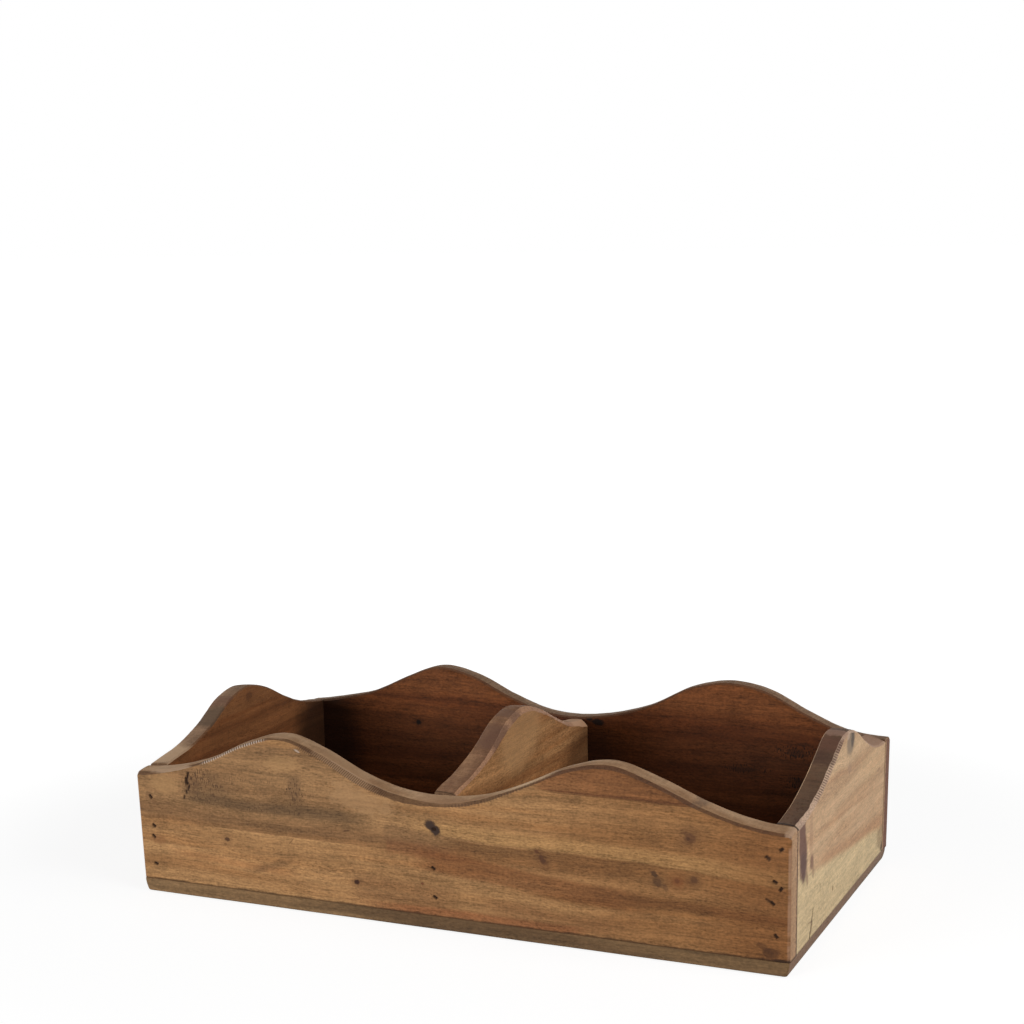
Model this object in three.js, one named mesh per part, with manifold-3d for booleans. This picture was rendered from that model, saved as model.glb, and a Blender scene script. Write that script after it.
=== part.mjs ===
// Open wooden storage box: five scalloped boards on a flat base, butt jointed and held by set brads.
// Millimetres, +Z up, +X along the length, origin at the centre of the underside.
import * as THREE from "three";
import { mergeVertices } from "three/addons/utils/BufferGeometryUtils.js";
import Module from "manifold-3d";

const wasm = await Module();
wasm.setup();

// Overall sizes
const LENGTH = 400; // along X, over the ends
const WIDTH = 215; // along Y, over the front and back
const WALL = 12.5; // thickness of every upright board
const BASE = 8; // thickness of the base board

// The scalloped rim, measured from the underside
const VALLEY_HEIGHT = 74;
const CREST_RISE = 29; // a full crest above a full valley
const RIM_STEPS = 3; // straight steps between two lifts of a rim

// Each rim as lifts at equal steps from one end of the board to the other, shares of the crest rise.
// The waves were sawn by hand, so the crests of one board differ a little from the next.
const FRONT_RIM = [
  0.01, 0.12, 0.38, 0.79, 1.01, 0.74, 0.32, 0.06, 0, 0.17, 0.53, 0.93, 1.08, 0.83, 0.49, 0.24, 0.14,
];
const BACK_RIM = [
  -0.1, 0, 0.23, 0.64, 0.93, 0.79, 0.41, 0.11, 0.04, 0.15, 0.46, 0.87, 1.09, 0.93, 0.56, 0.25, 0.16,
];
const LEFT_RIM = [0.08, 0.14, 0.26, 0.52, 0.88, 1.01, 0.82, 0.47, 0.17, 0, -0.09];
const RIGHT_RIM = [0.12, 0.14, 0.29, 0.49, 0.79, 1.08, 0.98, 0.64, 0.32, 0.12, 0.08];
const DIVIDER_RIM = [0.06, 0.16, 0.32, 0.58, 0.92, 1.04, 0.87, 0.54, 0.23, 0.06, -0.01];

// Worn edges
const ARRIS_RADIUS = 2; // round-over along the rims and the board ends
const DIVIDER_ARRIS_RADIUS = 3.5; // the divider's rim is worn rounder
const BASE_ARRIS_RADIUS = 1.6; // round-over along the underside
const CORNER_RADIUS = 3; // end corners of the long boards, and the base's corners in plan
const ARRIS_STEPS = 3; // straight steps in each round-over

// The divider stands a little off the middle and out of square
const DIVIDER_OFFSET = -0.6; // its middle, along X
const DIVIDER_SKEW = 4.8; // how much further right its back end stands than its front end

// Joints
const JOINT_GAP = 0.02; // left at each end of a board that butts between two others

// Brads: flat T shapes, their heads punched below the surface
const BRAD_LENGTH = 30;
const BRAD_THICKNESS = 1.4;
const HEAD_WIDTH = 3;
const HEAD_DEPTH = 1.2;
const SHANK_WIDTH = 1.3;
const POINT_LENGTH = 2.5;
const SET_DEPTH = 0.8; // head below the surface
const BRAD_CLEARANCE = 0.05; // between a brad and the wood, all round

// Brads through the front and back, as [height as a share of the valley height, shift from the middle
// of the board they enter as a share of the wall, turn of the head in degrees]
const FRONT_LEFT_BRADS = [[0.8, 0.1, -50], [0.56, 0.2, -35], [0.47, 0.16, -40], [0.24, 0.21, -20]];
const FRONT_RIGHT_BRADS = [
  [0.94, 0.09, 40],
  [0.7, -0.17, -25],
  [0.65, 0.08, 55],
  [0.54, -0.27, -40],
  [0.3, -0.11, -50],
];
const FRONT_DIVIDER_BRADS = [[0.8, -0.16, 10], [0.49, -0.24, -35], [0.26, -0.18, -30]];
const BACK_BRADS = [[0.82, 0.06, 30], [0.52, -0.08, -40], [0.25, 0.04, 15]];

// Brads up through the base, by share of the half span of the wall they enter
const BASE_LONG_BRADS = [-0.66, 0.1, 0.66];
const BASE_SHORT_BRADS = [-0.45, 0.45];

// Sizes that follow
const HALF_LENGTH = LENGTH / 2;
const HALF_WIDTH = WIDTH / 2;
const INNER_HALF_WIDTH = HALF_WIDTH - WALL; // from the middle to the long boards' inner faces
const END_BOARD_X = HALF_LENGTH - WALL / 2;
const LONG_BOARD_Y = HALF_WIDTH - WALL / 2;
const ABOVE_ALL = VALLEY_HEIGHT + 2 * CREST_RISE; // clears every crest
const DIVIDER_SLOPE = DIVIDER_SKEW / (2 * INNER_HALF_WIDTH);
const ACROSS = Math.PI / 2; // turn of a board that runs from front to back

// A closed geometry as a solid that can be cut
function solidOf(geometry) {
  const bare = geometry.clone();
  bare.deleteAttribute("normal");
  bare.deleteAttribute("uv");
  const merged = mergeVertices(bare, 1e-4);
  const vertProperties = new Float32Array(merged.attributes.position.array);
  const triVerts = new Uint32Array(merged.index.array);
  return new wasm.Manifold(new wasm.Mesh({ numProp: 3, vertProperties, triVerts }));
}

// A cut solid as a geometry again, with flat shading
function geometryOf(solid) {
  const { vertProperties, triVerts } = solid.getMesh();
  const indexed = new THREE.BufferGeometry();
  indexed.setAttribute("position", new THREE.BufferAttribute(new Float32Array(vertProperties), 3));
  indexed.setIndex(new THREE.BufferAttribute(new Uint32Array(triVerts), 1));
  const faceted = indexed.toNonIndexed();
  faceted.computeVertexNormals();
  return faceted;
}

// A box between two corners, as a solid
function boxBetween(low, high) {
  const size = high.clone().sub(low);
  const middle = low.clone().add(high).multiplyScalar(0.5);
  const box = new THREE.BoxGeometry(size.x, size.y, size.z);
  box.translate(middle.x, middle.y, middle.z);
  return solidOf(box);
}

// An outline given thickness, with rounded arrises that stay inside the outline
function easedSlab(outline, thickness, arris) {
  const slab = new THREE.ExtrudeGeometry(outline, {
    depth: thickness - 2 * arris,
    curveSegments: 4,
    bevelEnabled: true,
    bevelThickness: arris,
    bevelSize: arris,
    bevelOffset: -arris,
    bevelSegments: ARRIS_STEPS,
  });
  slab.translate(0, 0, arris);
  return slab;
}

// Points along a rim from one end to the other, as heights above the base board
function rimPoints(lifts, halfSpan) {
  const last = lifts.length - 1;
  const marks = lifts.map((lift, index) => {
    const place = THREE.MathUtils.lerp(-halfSpan, halfSpan, index / last);
    return new THREE.Vector2(place, VALLEY_HEIGHT - BASE + CREST_RISE * lift);
  });
  return new THREE.SplineCurve(marks).getPoints(last * RIM_STEPS);
}

// Side view of a board: straight foot, upright ends with rounded top corners, waved rim.
// It runs below the foot by twice the arris, which is trimmed off to leave the foot square.
function boardOutline(lifts, halfSpan, cornerRound, arris) {
  const rim = rimPoints(lifts, halfSpan);
  const foot = -2 * arris;
  const left = rim[0].y - cornerRound;
  const right = rim[rim.length - 1].y - cornerRound;
  const inside = rim.filter((point) => Math.abs(point.x) < halfSpan - cornerRound);
  const outline = new THREE.Shape();
  outline.moveTo(-halfSpan, foot);
  outline.lineTo(halfSpan, foot);
  outline.absarc(halfSpan - cornerRound, right, cornerRound, 0, Math.PI / 2, false);
  inside.reverse().forEach((point) => outline.lineTo(point.x, point.y));
  outline.absarc(-halfSpan + cornerRound, left, cornerRound, Math.PI / 2, Math.PI, false);
  outline.closePath();
  return outline;
}

// A board in its own frame: span along X, thickness along Y about 0, foot at Z 0
function boardSolid(lifts, halfSpan, trimmedHalfSpan, cornerRound, arris) {
  const slab = easedSlab(boardOutline(lifts, halfSpan, cornerRound, arris), WALL, arris);
  slab.translate(0, 0, -WALL / 2);
  slab.rotateX(Math.PI / 2);
  const low = new THREE.Vector3(-trimmedHalfSpan, -WALL, 0);
  const high = new THREE.Vector3(trimmedHalfSpan, WALL, ABOVE_ALL);
  return solidOf(slab).intersect(boxBetween(low, high));
}

// The base board: rounded corners in plan, rounded arris below, square and flat on top
function baseSolid() {
  const plan = new THREE.Shape();
  const x = HALF_LENGTH - CORNER_RADIUS;
  const y = HALF_WIDTH - CORNER_RADIUS;
  plan.absarc(x, y, CORNER_RADIUS, 0, Math.PI / 2, false);
  plan.absarc(-x, y, CORNER_RADIUS, Math.PI / 2, Math.PI, false);
  plan.absarc(-x, -y, CORNER_RADIUS, Math.PI, 1.5 * Math.PI, false);
  plan.absarc(x, -y, CORNER_RADIUS, 1.5 * Math.PI, 2 * Math.PI, false);
  const slab = easedSlab(plan, BASE + 2 * BASE_ARRIS_RADIUS, BASE_ARRIS_RADIUS);
  const low = new THREE.Vector3(-LENGTH, -WIDTH, 0);
  const high = new THREE.Vector3(LENGTH, WIDTH, BASE);
  return solidOf(slab).intersect(boxBetween(low, high));
}

// A brad's flat T, head at the top and point along -Z, grown by a clearance and raised above its head
function bradGeometry(clearance, raised) {
  const head = HEAD_WIDTH / 2 + clearance;
  const shank = SHANK_WIDTH / 2 + clearance;
  const under = -HEAD_DEPTH - clearance;
  const tip = -BRAD_LENGTH - clearance;
  const tee = new THREE.Shape();
  tee.moveTo(-head, raised);
  tee.lineTo(-head, under);
  tee.lineTo(-shank, under);
  tee.lineTo(-shank, tip + POINT_LENGTH);
  tee.lineTo(0, tip);
  tee.lineTo(shank, tip + POINT_LENGTH);
  tee.lineTo(shank, under);
  tee.lineTo(head, under);
  tee.lineTo(head, raised);
  tee.closePath();
  const depth = BRAD_THICKNESS + 2 * clearance;
  const brad = new THREE.ExtrudeGeometry(tee, { depth, bevelEnabled: false });
  brad.translate(0, 0, -depth / 2);
  brad.rotateX(Math.PI / 2);
  return brad;
}

const lightWood = new THREE.MeshStandardMaterial({ color: 0xa87848, roughness: 0.72, metalness: 0 });
const redWood = new THREE.MeshStandardMaterial({ color: 0x7d5236, roughness: 0.75, metalness: 0 });
const paleWood = new THREE.MeshStandardMaterial({ color: 0xb89a70, roughness: 0.72, metalness: 0 });
const greyWood = new THREE.MeshStandardMaterial({ color: 0x6f5940, roughness: 0.8, metalness: 0 });
const darkSteel = new THREE.MeshStandardMaterial({ color: 0x2b221d, roughness: 0.6, metalness: 0.9 });

const box = new THREE.Group();
const boards = new THREE.Group();
const brads = new THREE.Group();
box.add(boards, brads);

const bradShape = bradGeometry(0, 0);
const bradPocket = bradGeometry(BRAD_CLEARANCE, SET_DEPTH + ARRIS_RADIUS);
const pockets = [];

// Drives one brad: tilt turns its point from -Z to where it goes, turn rolls its head
function driveBrad(name, position, tilt, turn) {
  const brad = new THREE.Mesh(bradShape, darkSteel);
  brad.name = name;
  brad.position.copy(position);
  brad.rotation.set(tilt, 0, THREE.MathUtils.degToRad(turn));
  brad.updateMatrix();
  brads.add(brad);
  pockets.push(solidOf(bradPocket.clone().applyMatrix4(brad.matrix)));
}

// Drives a column of brads through the front (side -1) or the back (side 1) at one joint
function driveColumn(label, column, x, side) {
  column.forEach(([share, shift, turn], index) => {
    const y = side * (HALF_WIDTH - SET_DEPTH);
    const position = new THREE.Vector3(x + shift * WALL, y, share * VALLEY_HEIGHT);
    driveBrad(`brad_${label}_${index + 1}`, position, (-side * Math.PI) / 2, turn);
  });
}

// Drives a row of brads up through the base
function driveRow(label, places) {
  places.forEach(([x, y, turn], index) => {
    driveBrad(`brad_base_${label}_${index + 1}`, new THREE.Vector3(x, y, SET_DEPTH), Math.PI, turn);
  });
}

const dividerFrontX = DIVIDER_OFFSET - DIVIDER_SKEW / 2;
const dividerBackX = DIVIDER_OFFSET + DIVIDER_SKEW / 2;
driveColumn("front_left", FRONT_LEFT_BRADS, -END_BOARD_X, -1);
driveColumn("front_right", FRONT_RIGHT_BRADS, END_BOARD_X, -1);
driveColumn("front_divider", FRONT_DIVIDER_BRADS, dividerFrontX, -1);
driveColumn("back_left", BACK_BRADS, -END_BOARD_X, 1);
driveColumn("back_right", BACK_BRADS, END_BOARD_X, 1);
driveColumn("back_divider", BACK_BRADS, dividerBackX, 1);
driveRow("front", BASE_LONG_BRADS.map((share) => [share * HALF_LENGTH, -LONG_BOARD_Y, 0]));
driveRow("back", BASE_LONG_BRADS.map((share) => [share * HALF_LENGTH, LONG_BOARD_Y, 0]));
driveRow("left", BASE_SHORT_BRADS.map((share) => [-END_BOARD_X, share * HALF_WIDTH, 90]));
driveRow("right", BASE_SHORT_BRADS.map((share) => [END_BOARD_X, share * HALF_WIDTH, 90]));
driveRow("divider", BASE_SHORT_BRADS.map((share) => {
  const y = share * HALF_WIDTH;
  return [DIVIDER_OFFSET + DIVIDER_SLOPE * y, y, 90];
}));

// Places a board, turned about Z, and cuts the pockets of the brads that enter it
function placeBoard(name, solid, material, position, turn) {
  const board = new THREE.Mesh(undefined, material);
  board.name = name;
  board.position.copy(position);
  board.rotation.z = turn;
  board.updateMatrix();
  const back = board.matrix.clone().invert();
  const cut = pockets.reduce((left, pocket) => left.subtract(pocket.transform(back.elements)), solid);
  board.geometry = geometryOf(cut);
  boards.add(board);
}

// Long boards run the full length; the ends and the divider butt between them
const buttHalfSpan = INNER_HALF_WIDTH - JOINT_GAP;
const longBoard = (rim) => boardSolid(rim, HALF_LENGTH, LENGTH, CORNER_RADIUS, ARRIS_RADIUS);
const buttBoard = (rim, arris) => boardSolid(rim, HALF_WIDTH, buttHalfSpan, 2 * arris, arris);
const skew = new THREE.Matrix4().makeShear(-DIVIDER_SLOPE, 0, 0, 0, 0, 0);
const leftEnd = buttBoard(LEFT_RIM, ARRIS_RADIUS);
const rightEnd = buttBoard(RIGHT_RIM, ARRIS_RADIUS);
const divider = buttBoard(DIVIDER_RIM, DIVIDER_ARRIS_RADIUS).transform(skew.elements);

placeBoard("base_board", baseSolid(), greyWood, new THREE.Vector3(0, 0, 0), 0);
placeBoard("front_board", longBoard(FRONT_RIM), lightWood, new THREE.Vector3(0, -LONG_BOARD_Y, BASE), 0);
placeBoard("back_board", longBoard(BACK_RIM), redWood, new THREE.Vector3(0, LONG_BOARD_Y, BASE), 0);
placeBoard("left_end_board", leftEnd, lightWood, new THREE.Vector3(-END_BOARD_X, 0, BASE), ACROSS);
placeBoard("right_end_board", rightEnd, paleWood, new THREE.Vector3(END_BOARD_X, 0, BASE), ACROSS);
placeBoard("divider", divider, redWood, new THREE.Vector3(DIVIDER_OFFSET, 0, BASE), ACROSS);

export default box;
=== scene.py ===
"""Open wooden storage box with a scalloped rim: its looks, its studio and its camera.

Sizes and places on a board are in millimetres: along it, up it and through its thickness. Colours are
display colours of 0 to 255 per channel.
"""

import logging
import math
from dataclasses import dataclass, replace
from enum import Enum
from functools import cached_property

import bmesh
import bpy
import numpy as np
from mathutils import Euler, Matrix, Vector


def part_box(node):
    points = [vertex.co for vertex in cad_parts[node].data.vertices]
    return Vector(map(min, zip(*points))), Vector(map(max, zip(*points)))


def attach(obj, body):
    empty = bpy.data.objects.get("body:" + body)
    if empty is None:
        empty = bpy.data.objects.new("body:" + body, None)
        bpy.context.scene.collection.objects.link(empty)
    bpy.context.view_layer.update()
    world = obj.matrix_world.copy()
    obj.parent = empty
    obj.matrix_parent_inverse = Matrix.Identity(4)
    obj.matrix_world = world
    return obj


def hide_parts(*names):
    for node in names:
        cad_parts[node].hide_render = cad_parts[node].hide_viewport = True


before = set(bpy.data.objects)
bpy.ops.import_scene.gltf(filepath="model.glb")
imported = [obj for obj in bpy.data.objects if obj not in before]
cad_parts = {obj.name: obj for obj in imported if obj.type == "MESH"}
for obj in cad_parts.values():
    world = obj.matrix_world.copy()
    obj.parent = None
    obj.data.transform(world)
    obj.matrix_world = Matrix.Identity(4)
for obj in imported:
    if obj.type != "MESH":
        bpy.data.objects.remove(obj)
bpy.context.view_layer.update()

Tint = tuple[int, int, int]
Pair = tuple[float, float]
Array = np.ndarray

LOG = logging.getLogger("storage_box")
MAP_NAME = "OFBake"
IMAGE_SIDE = 1024  # pixels
MM = 0.001  # metres
QUARTER = math.pi / 2  # a quarter turn
VALLEY_HEIGHT = 74.0  # of every rim
CREST_RISE = 29.0  # of a full crest above a full valley
SEED_STRIDES = (7.31, 3.17, 5.73)  # how far apart two seeds set a noise, along its three axes
EDGE_SIZES = (1.4, 4.0, 12.0)  # of the noises that fray small, middling and large marks
MARK_REACH = 4.0  # how many radii a mark is worked out to
ALL_THROUGH = 1e6  # a mark goes through the whole thickness
PAST_ENDS = 300.0  # a band that starts or stops beyond this has no end on the board
NO_FOOT = -500.0  # the lower edge of a board that gathers no dirt there
NO_RIM = 50.0  # the drop from the rim on a board that has none
SMOOTH_BELOW = math.radians(30)  # edges that turn further stay crisp

PALE_WEAR_AND_HIGHLIGHT = (198, 176, 158)
WORN_CORNER = (192, 156, 130)
PALE_END = (190, 154, 118)
END_PORE = (70, 46, 32)
SEAM = (50, 33, 23)
DIRT = (44, 29, 20)
PIT_BOTTOM = (42, 27, 19)


def shade(tint: Tint) -> tuple[float, ...]:
    """A display colour as the linear colour that shaders take.

    Args:
        tint: the display colour.

    Returns:
        Red, green, blue and a full alpha.
    """

    def linear(channel: float) -> float:
        """One display channel in linear light."""
        part = channel / 255
        return part / 12.92 if part <= 0.04045 else ((part + 0.055) / 1.055) ** 2.4

    return *map(linear, tint), 1.0


class Lie(Enum):
    """How a board lies: the axes of its length, its height and its thickness."""

    LENGTHWISE = (0, 2, 1)
    CROSSWISE = (1, 2, 0)
    FLAT = (0, 1, 2)


class Blend(Enum):
    """How a second colour goes onto a first one."""

    MIX = "MIX"
    MULTIPLY = "MULTIPLY"


class Carried(Enum):
    """The numbers that a board's mesh carries at each point for its finish."""

    TOP = "top"  # 1 on the rim's flat
    EDGE = "edge"  # 1 on the rim's arrises
    DROP = "drop"  # how far below the rim
    PIT = "pit"  # 1 in a pit
    BACK = "back"  # 0 at the face that shows and 1 at the other


class Value:
    """One output socket of a node, which adds Math nodes when it is used in an expression."""

    def __init__(self, graph: "Graph", node: bpy.types.Node, slot: str | int) -> None:
        """Keeps the graph, the node and which of its outputs this is."""
        self.graph, self.node, self.slot = graph, node, slot

    @property
    def socket(self) -> bpy.types.NodeSocket:
        """The socket itself."""
        return self.node.outputs[self.slot]

    def output(self, slot: str | int) -> "Value":
        """Another output of the same node."""
        return Value(self.graph, self.node, slot)

    def math(self, operation: str, *terms: "Value | float") -> "Value":
        """One Math node over the given terms."""
        return self.graph.node("ShaderNodeMath", {"operation": operation}, dict(enumerate(terms)))

    def __add__(self, other: "Value | float") -> "Value":
        """Sum."""
        return self.math("ADD", self, other)

    __radd__ = __add__

    def __sub__(self, other: "Value | float") -> "Value":
        """Difference."""
        return self.math("SUBTRACT", self, other)

    def __rsub__(self, other: "Value | float") -> "Value":
        """Difference from a number."""
        return self.math("SUBTRACT", other, self)

    def __mul__(self, other: "Value | float") -> "Value":
        """Product."""
        return self.math("MULTIPLY", self, other)

    __rmul__ = __mul__

    def __abs__(self) -> "Value":
        """Size without sign."""
        return self.math("ABSOLUTE", self)

    def sine(self) -> "Value":
        """Sine of an angle in radians."""
        return self.math("SINE", self)

    def most(self, other: "Value | float") -> "Value":
        """The larger of two values."""
        return self.math("MAXIMUM", self, other)


@dataclass(frozen=True)
class Noise:
    """A soft noise: the size of its features along, up and through a board, and its character."""

    size: tuple[float, float, float]
    seed: float
    detail: float = 2.0
    rough: float = 0.5
    in_grain: bool = False

    def stretched(self, up: float, through: float) -> "Noise":
        """The same noise with its features made larger."""
        return replace(self, size=(self.size[0], self.size[1] * up, self.size[2] * through))


# Bends of the grain
WANDER = Noise((130, 38, 60), 1)
RIPPLE = Noise((34, 9, 30), 2, 1)
# What follows the grain
TONE = Noise((150, 10, 34), 3, in_grain=True)
WARMTH = Noise((110, 7, 28), 4, in_grain=True)
STREAK = Noise((64, 2.1, 9), 5, 3, 0.6, in_grain=True)
FIBRE = Noise((5.5, 0.8, 3), 6, 3, 0.65, in_grain=True)
PORE = Noise((2.8, 0.6, 2.2), 7, 1, in_grain=True)
PORE_PLACE = Noise((42, 7, 20), 8, in_grain=True)
# What lies over it
MOTTLE = Noise((17, 11, 12), 9, 4, 0.6)
CHATTER = Noise((1.5, 26, 12), 10)
SPECKLE = Noise((1.7, 1.2, 1.4), 11)
TICKS = Noise((0.75, 2.9, 5), 12, 2, 0.6)
RAGGED = Noise((7, 7, 7), 17, 3, 0.7)
# Rims and ends
RIM_CLOUD = Noise((22, 14, 9), 13, 3, 0.6)
RIM_FINE = Noise((1.8, 1.8, 1.0), 14, 3, 0.6)
RIM_SAW = Noise((1.6, 1.5, 18), 18, 2, 0.6)
RIM_GRIT = Noise((0.85, 0.85, 0.85), 19, 1)
END_RINGS = Noise((30, 2.4, 3.4), 15, 3, 0.65)
END_DOTS = Noise((4, 0.7, 0.6), 16, 1)
RUST = Noise((0.6, 0.6, 0.6), 3, 3, 0.6)

# How much each noise lightens and darkens the wood
LIGHT_SWINGS = ((STREAK, 0.75), (FIBRE, 1.0), (MOTTLE, 0.6), (CHATTER, 0.16), (SPECKLE, 0.7))


class Graph:
    """The nodes of a material or of the world, added one at a time."""

    def __init__(self, owner: bpy.types.Material | bpy.types.World) -> None:
        """Starts an empty tree on its owner."""
        owner.use_nodes = True
        self.owner, self.tree = owner, owner.node_tree
        self.tree.nodes.clear()

    def node(self, kind: str, settings: dict, sockets: dict, output: str | int = 0) -> Value:
        """Adds a node.

        Args:
            kind: Blender's name of the node type.
            settings: properties, which are set first.
            sockets: numbers, colours or values for the inputs, by name or place.
            output: the output that is wanted.

        Returns:
            That output as a value.
        """
        made = self.tree.nodes.new(kind)
        for key, setting in settings.items():
            setattr(made, key, setting)
        for key, given in sockets.items():
            if isinstance(given, Value):
                self.tree.links.new(given.socket, made.inputs[key])
            else:
                made.inputs[key].default_value = given
        return Value(self, made, output)

    def smooth(self, value: Value, low: float, high: float) -> Value:
        """A soft step from 0 at low to 1 at high."""
        sockets = {"Value": value, "From Min": low, "From Max": high}
        return self.node("ShaderNodeMapRange", {"interpolation_type": "SMOOTHSTEP"}, sockets)

    def mix(
        self, factor: Value | float, first: Value | Tint, second: Value | Tint, blend: Blend = Blend.MIX
    ) -> Value:
        """One colour going over into another.

        Args:
            factor: how far, from 0 to 1.
            first: the colour at 0.
            second: the colour that goes onto it.
            blend: how it goes on.

        Returns:
            The mixed colour.
        """
        first, second = (given if isinstance(given, Value) else shade(given) for given in (first, second))
        settings = {"data_type": "RGBA", "blend_type": blend.value}
        return self.node("ShaderNodeMix", settings, {0: factor, 6: first, 7: second}, 2)

    def scaled(self, colour: Value | Tint, factor: Value | float) -> Value:
        """A colour made lighter or darker by a factor."""
        grey = self.node("ShaderNodeCombineColor", {}, {0: factor, 1: factor, 2: factor})
        return self.mix(1.0, colour, grey, Blend.MULTIPLY)

    def noise(self, place: Value, noise: Noise, seed: float = 0.0) -> Value:
        """A soft noise about 0.5.

        Args:
            place: where, as a vector in millimetres.
            noise: which noise.
            seed: a number that sets this board's noise apart.

        Returns:
            The noise.
        """
        scale = tuple(1 / part for part in noise.size)
        shift = tuple((seed + noise.seed) * stride for stride in SEED_STRIDES)
        sockets = {0: place, 1: scale, 2: shift}
        moved = self.node("ShaderNodeVectorMath", {"operation": "MULTIPLY_ADD"}, sockets)
        sockets = {"Vector": moved, "Scale": 1.0, "Detail": noise.detail, "Roughness": noise.rough}
        return self.node("ShaderNodeTexNoise", {"noise_dimensions": "3D"}, sockets)

    def millimetres(self, coordinate: Value) -> Value:
        """A place in metres as one in millimetres."""
        return self.node("ShaderNodeVectorMath", {"operation": "SCALE"}, {0: coordinate, "Scale": 1 / MM})

    def finish(
        self, shader: Value, output: str = "ShaderNodeOutputMaterial"
    ) -> bpy.types.Material | bpy.types.World:
        """Joins a shader to the output node and gives back the tree's owner."""
        self.node(output, {}, {"Surface": shader})
        return self.owner


class Surface:
    """What a board's finish knows at each point: its place, the noises there and what the mesh carries."""

    def __init__(self, g: Graph, wood: "Wood", lie: Lie, show: float, half_span: float) -> None:
        """Works out the places.

        Args:
            g: the material's graph.
            wood: the finish.
            lie: how the board lies.
            show: place of the face that shows, on the board's thickness axis.
            half_span: half the board's length.
        """
        self.g, self.wood = g, wood
        self.made: dict[Noise | Carried, Value] = {}
        coordinate = g.node("ShaderNodeTexCoord", {}, {}, "Object")
        split = g.node("ShaderNodeSeparateXYZ", {}, {0: g.millimetres(coordinate)})
        self.along, self.height, self.depth = (split.output(axis) for axis in lie.value)
        normal = g.node("ShaderNodeSeparateXYZ", {}, {0: coordinate.output("Normal")})
        facing_out = abs(normal.output(lie.value[0]))
        self.turned = facing_out * g.smooth(abs(self.along), half_span - 5, half_span - 3.5)
        self.end = g.smooth(self.turned, 0.8, 0.95)
        self.past = abs(self.depth - show)
        self.near = 1 - g.smooth(self.past, 3.5, 6.0)
        self.straight = self.vector(self.height)
        self.grain = self.height + self.swing(WANDER, 9) + self.swing(RIPPLE, 1.6)
        frays = [Noise((size,) * 3, size, 4, 0.7) for size in EDGE_SIZES]
        self.edges = [self.swing(fray, 2) for fray in frays]
        for mark in wood.marks:
            if mark.bend:
                halo = mark.masks(self, self.straight)[1]
                self.grain = self.grain - (self.height - mark.height) * halo * self.near * mark.bend

    def vector(self, height: Value) -> Value:
        """The place as a vector, at another height."""
        return self.g.node("ShaderNodeCombineXYZ", {}, {0: self.along, 1: height, 2: self.depth})

    @cached_property
    def in_grain(self) -> Value:
        """The place measured along and across the grain."""
        return self.vector(self.grain)

    @cached_property
    def frayed(self) -> Value:
        """The place shaken by the fibres, for marks with fibrous edges."""
        return self.vector(self.height + self.swing(FIBRE, 0.6))

    @cached_property
    def pores(self) -> Value:
        """The open pores."""
        place = self.g.smooth(self.noise(PORE_PLACE), 0.32, 0.62)
        return self.g.smooth(self.noise(PORE), 0.55, 0.66) * place

    def noise(self, noise: Noise) -> Value:
        """A noise at each point, made when it is first asked for.

        Args:
            noise: which noise.

        Returns:
            The noise, about 0.5.
        """
        if noise not in self.made:
            place, sized = self.straight, noise
            if noise.in_grain:
                place, sized = self.in_grain, noise.stretched(self.wood.grain_height, self.wood.depth_size)
            self.made[noise] = self.g.noise(place, sized, self.wood.seed)
        return self.made[noise]

    def swing(self, noise: Noise, amount: float) -> Value:
        """A noise about 0, times an amount."""
        return (self.noise(noise) - 0.5) * amount

    def carried(self, number: Carried) -> Value:
        """A number that the mesh carries, read when it is first asked for.

        Args:
            number: which number.

        Returns:
            The number at each point.
        """
        if number not in self.made:
            settings = {"attribute_name": number.value}
            self.made[number] = self.g.node("ShaderNodeAttribute", settings, {}, "Fac")
        return self.made[number]


@dataclass(frozen=True)
class Band:
    """A stripe of colour that follows the grain, from one place on the board to another."""

    start: Pair
    stop: Pair
    half: float
    tint: Tint
    strength: float
    below: float = 3.0
    above: float = 3.0
    fade_in: float = 25.0
    fade_out: float = 25.0

    def mask(self, at: Surface) -> Value:
        """Where the band lies.

        Args:
            at: the board's surface.

        Returns:
            A mask, times the band's strength.
        """
        g = at.g
        (start, start_height), (stop, stop_height) = self.start, self.stop
        rise = (stop_height - start_height) / (stop - start)
        offset = at.grain - at.along * rise - (start_height - rise * start)
        mask = g.smooth(offset, -self.half - self.below / 2, -self.half + self.below / 2)
        mask = mask * (1 - g.smooth(offset, self.half - self.above / 2, self.half + self.above / 2))
        if start > -PAST_ENDS:
            mask = mask * g.smooth(at.along, start, start + self.fade_in)
        if stop < PAST_ENDS:
            mask = mask * (1 - g.smooth(at.along, stop - self.fade_out, stop))
        return mask * self.strength


@dataclass(frozen=True)
class Mark:
    """A knot, stain, bruise or patch of painted shade or light: an oval on the face that shows, or on the
    rim.
    """

    along: float
    height: float
    radius: float
    stretch: float
    tint: Tint
    strength: float
    turn: float = 0.0
    ragged: float = 0.5
    halo: float = 0.0
    bend: float = 0.0
    on_rim: bool = False

    def masks(self, at: Surface, place: Value) -> tuple[Value, Value]:
        """Where the mark lies.

        Args:
            at: the board's surface.
            place: the place to measure from, as a vector.

        Returns:
            Masks of its core and of the soft ring round it.
        """
        g, reach = at.g, self.radius * MARK_REACH
        sockets = {
            "Vector": place,
            "Location": (self.along, self.height, 0),
            "Rotation": (0, 0, self.turn),
            "Scale": (reach * self.stretch, reach, ALL_THROUGH),
        }
        local = g.node("ShaderNodeMapping", {"vector_type": "TEXTURE"}, sockets)
        inward = g.node("ShaderNodeTexGradient", {"gradient_type": "SPHERICAL"}, {"Vector": local}, 1)
        misfits = [abs(math.log(size / self.radius)) for size in EDGE_SIZES]
        far = (1 - inward) * MARK_REACH + at.edges[misfits.index(min(misfits))] * self.ragged
        return 1 - g.smooth(far, 0.55, 1.1), 1 - g.smooth(far, 0.7, 2.8)


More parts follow.
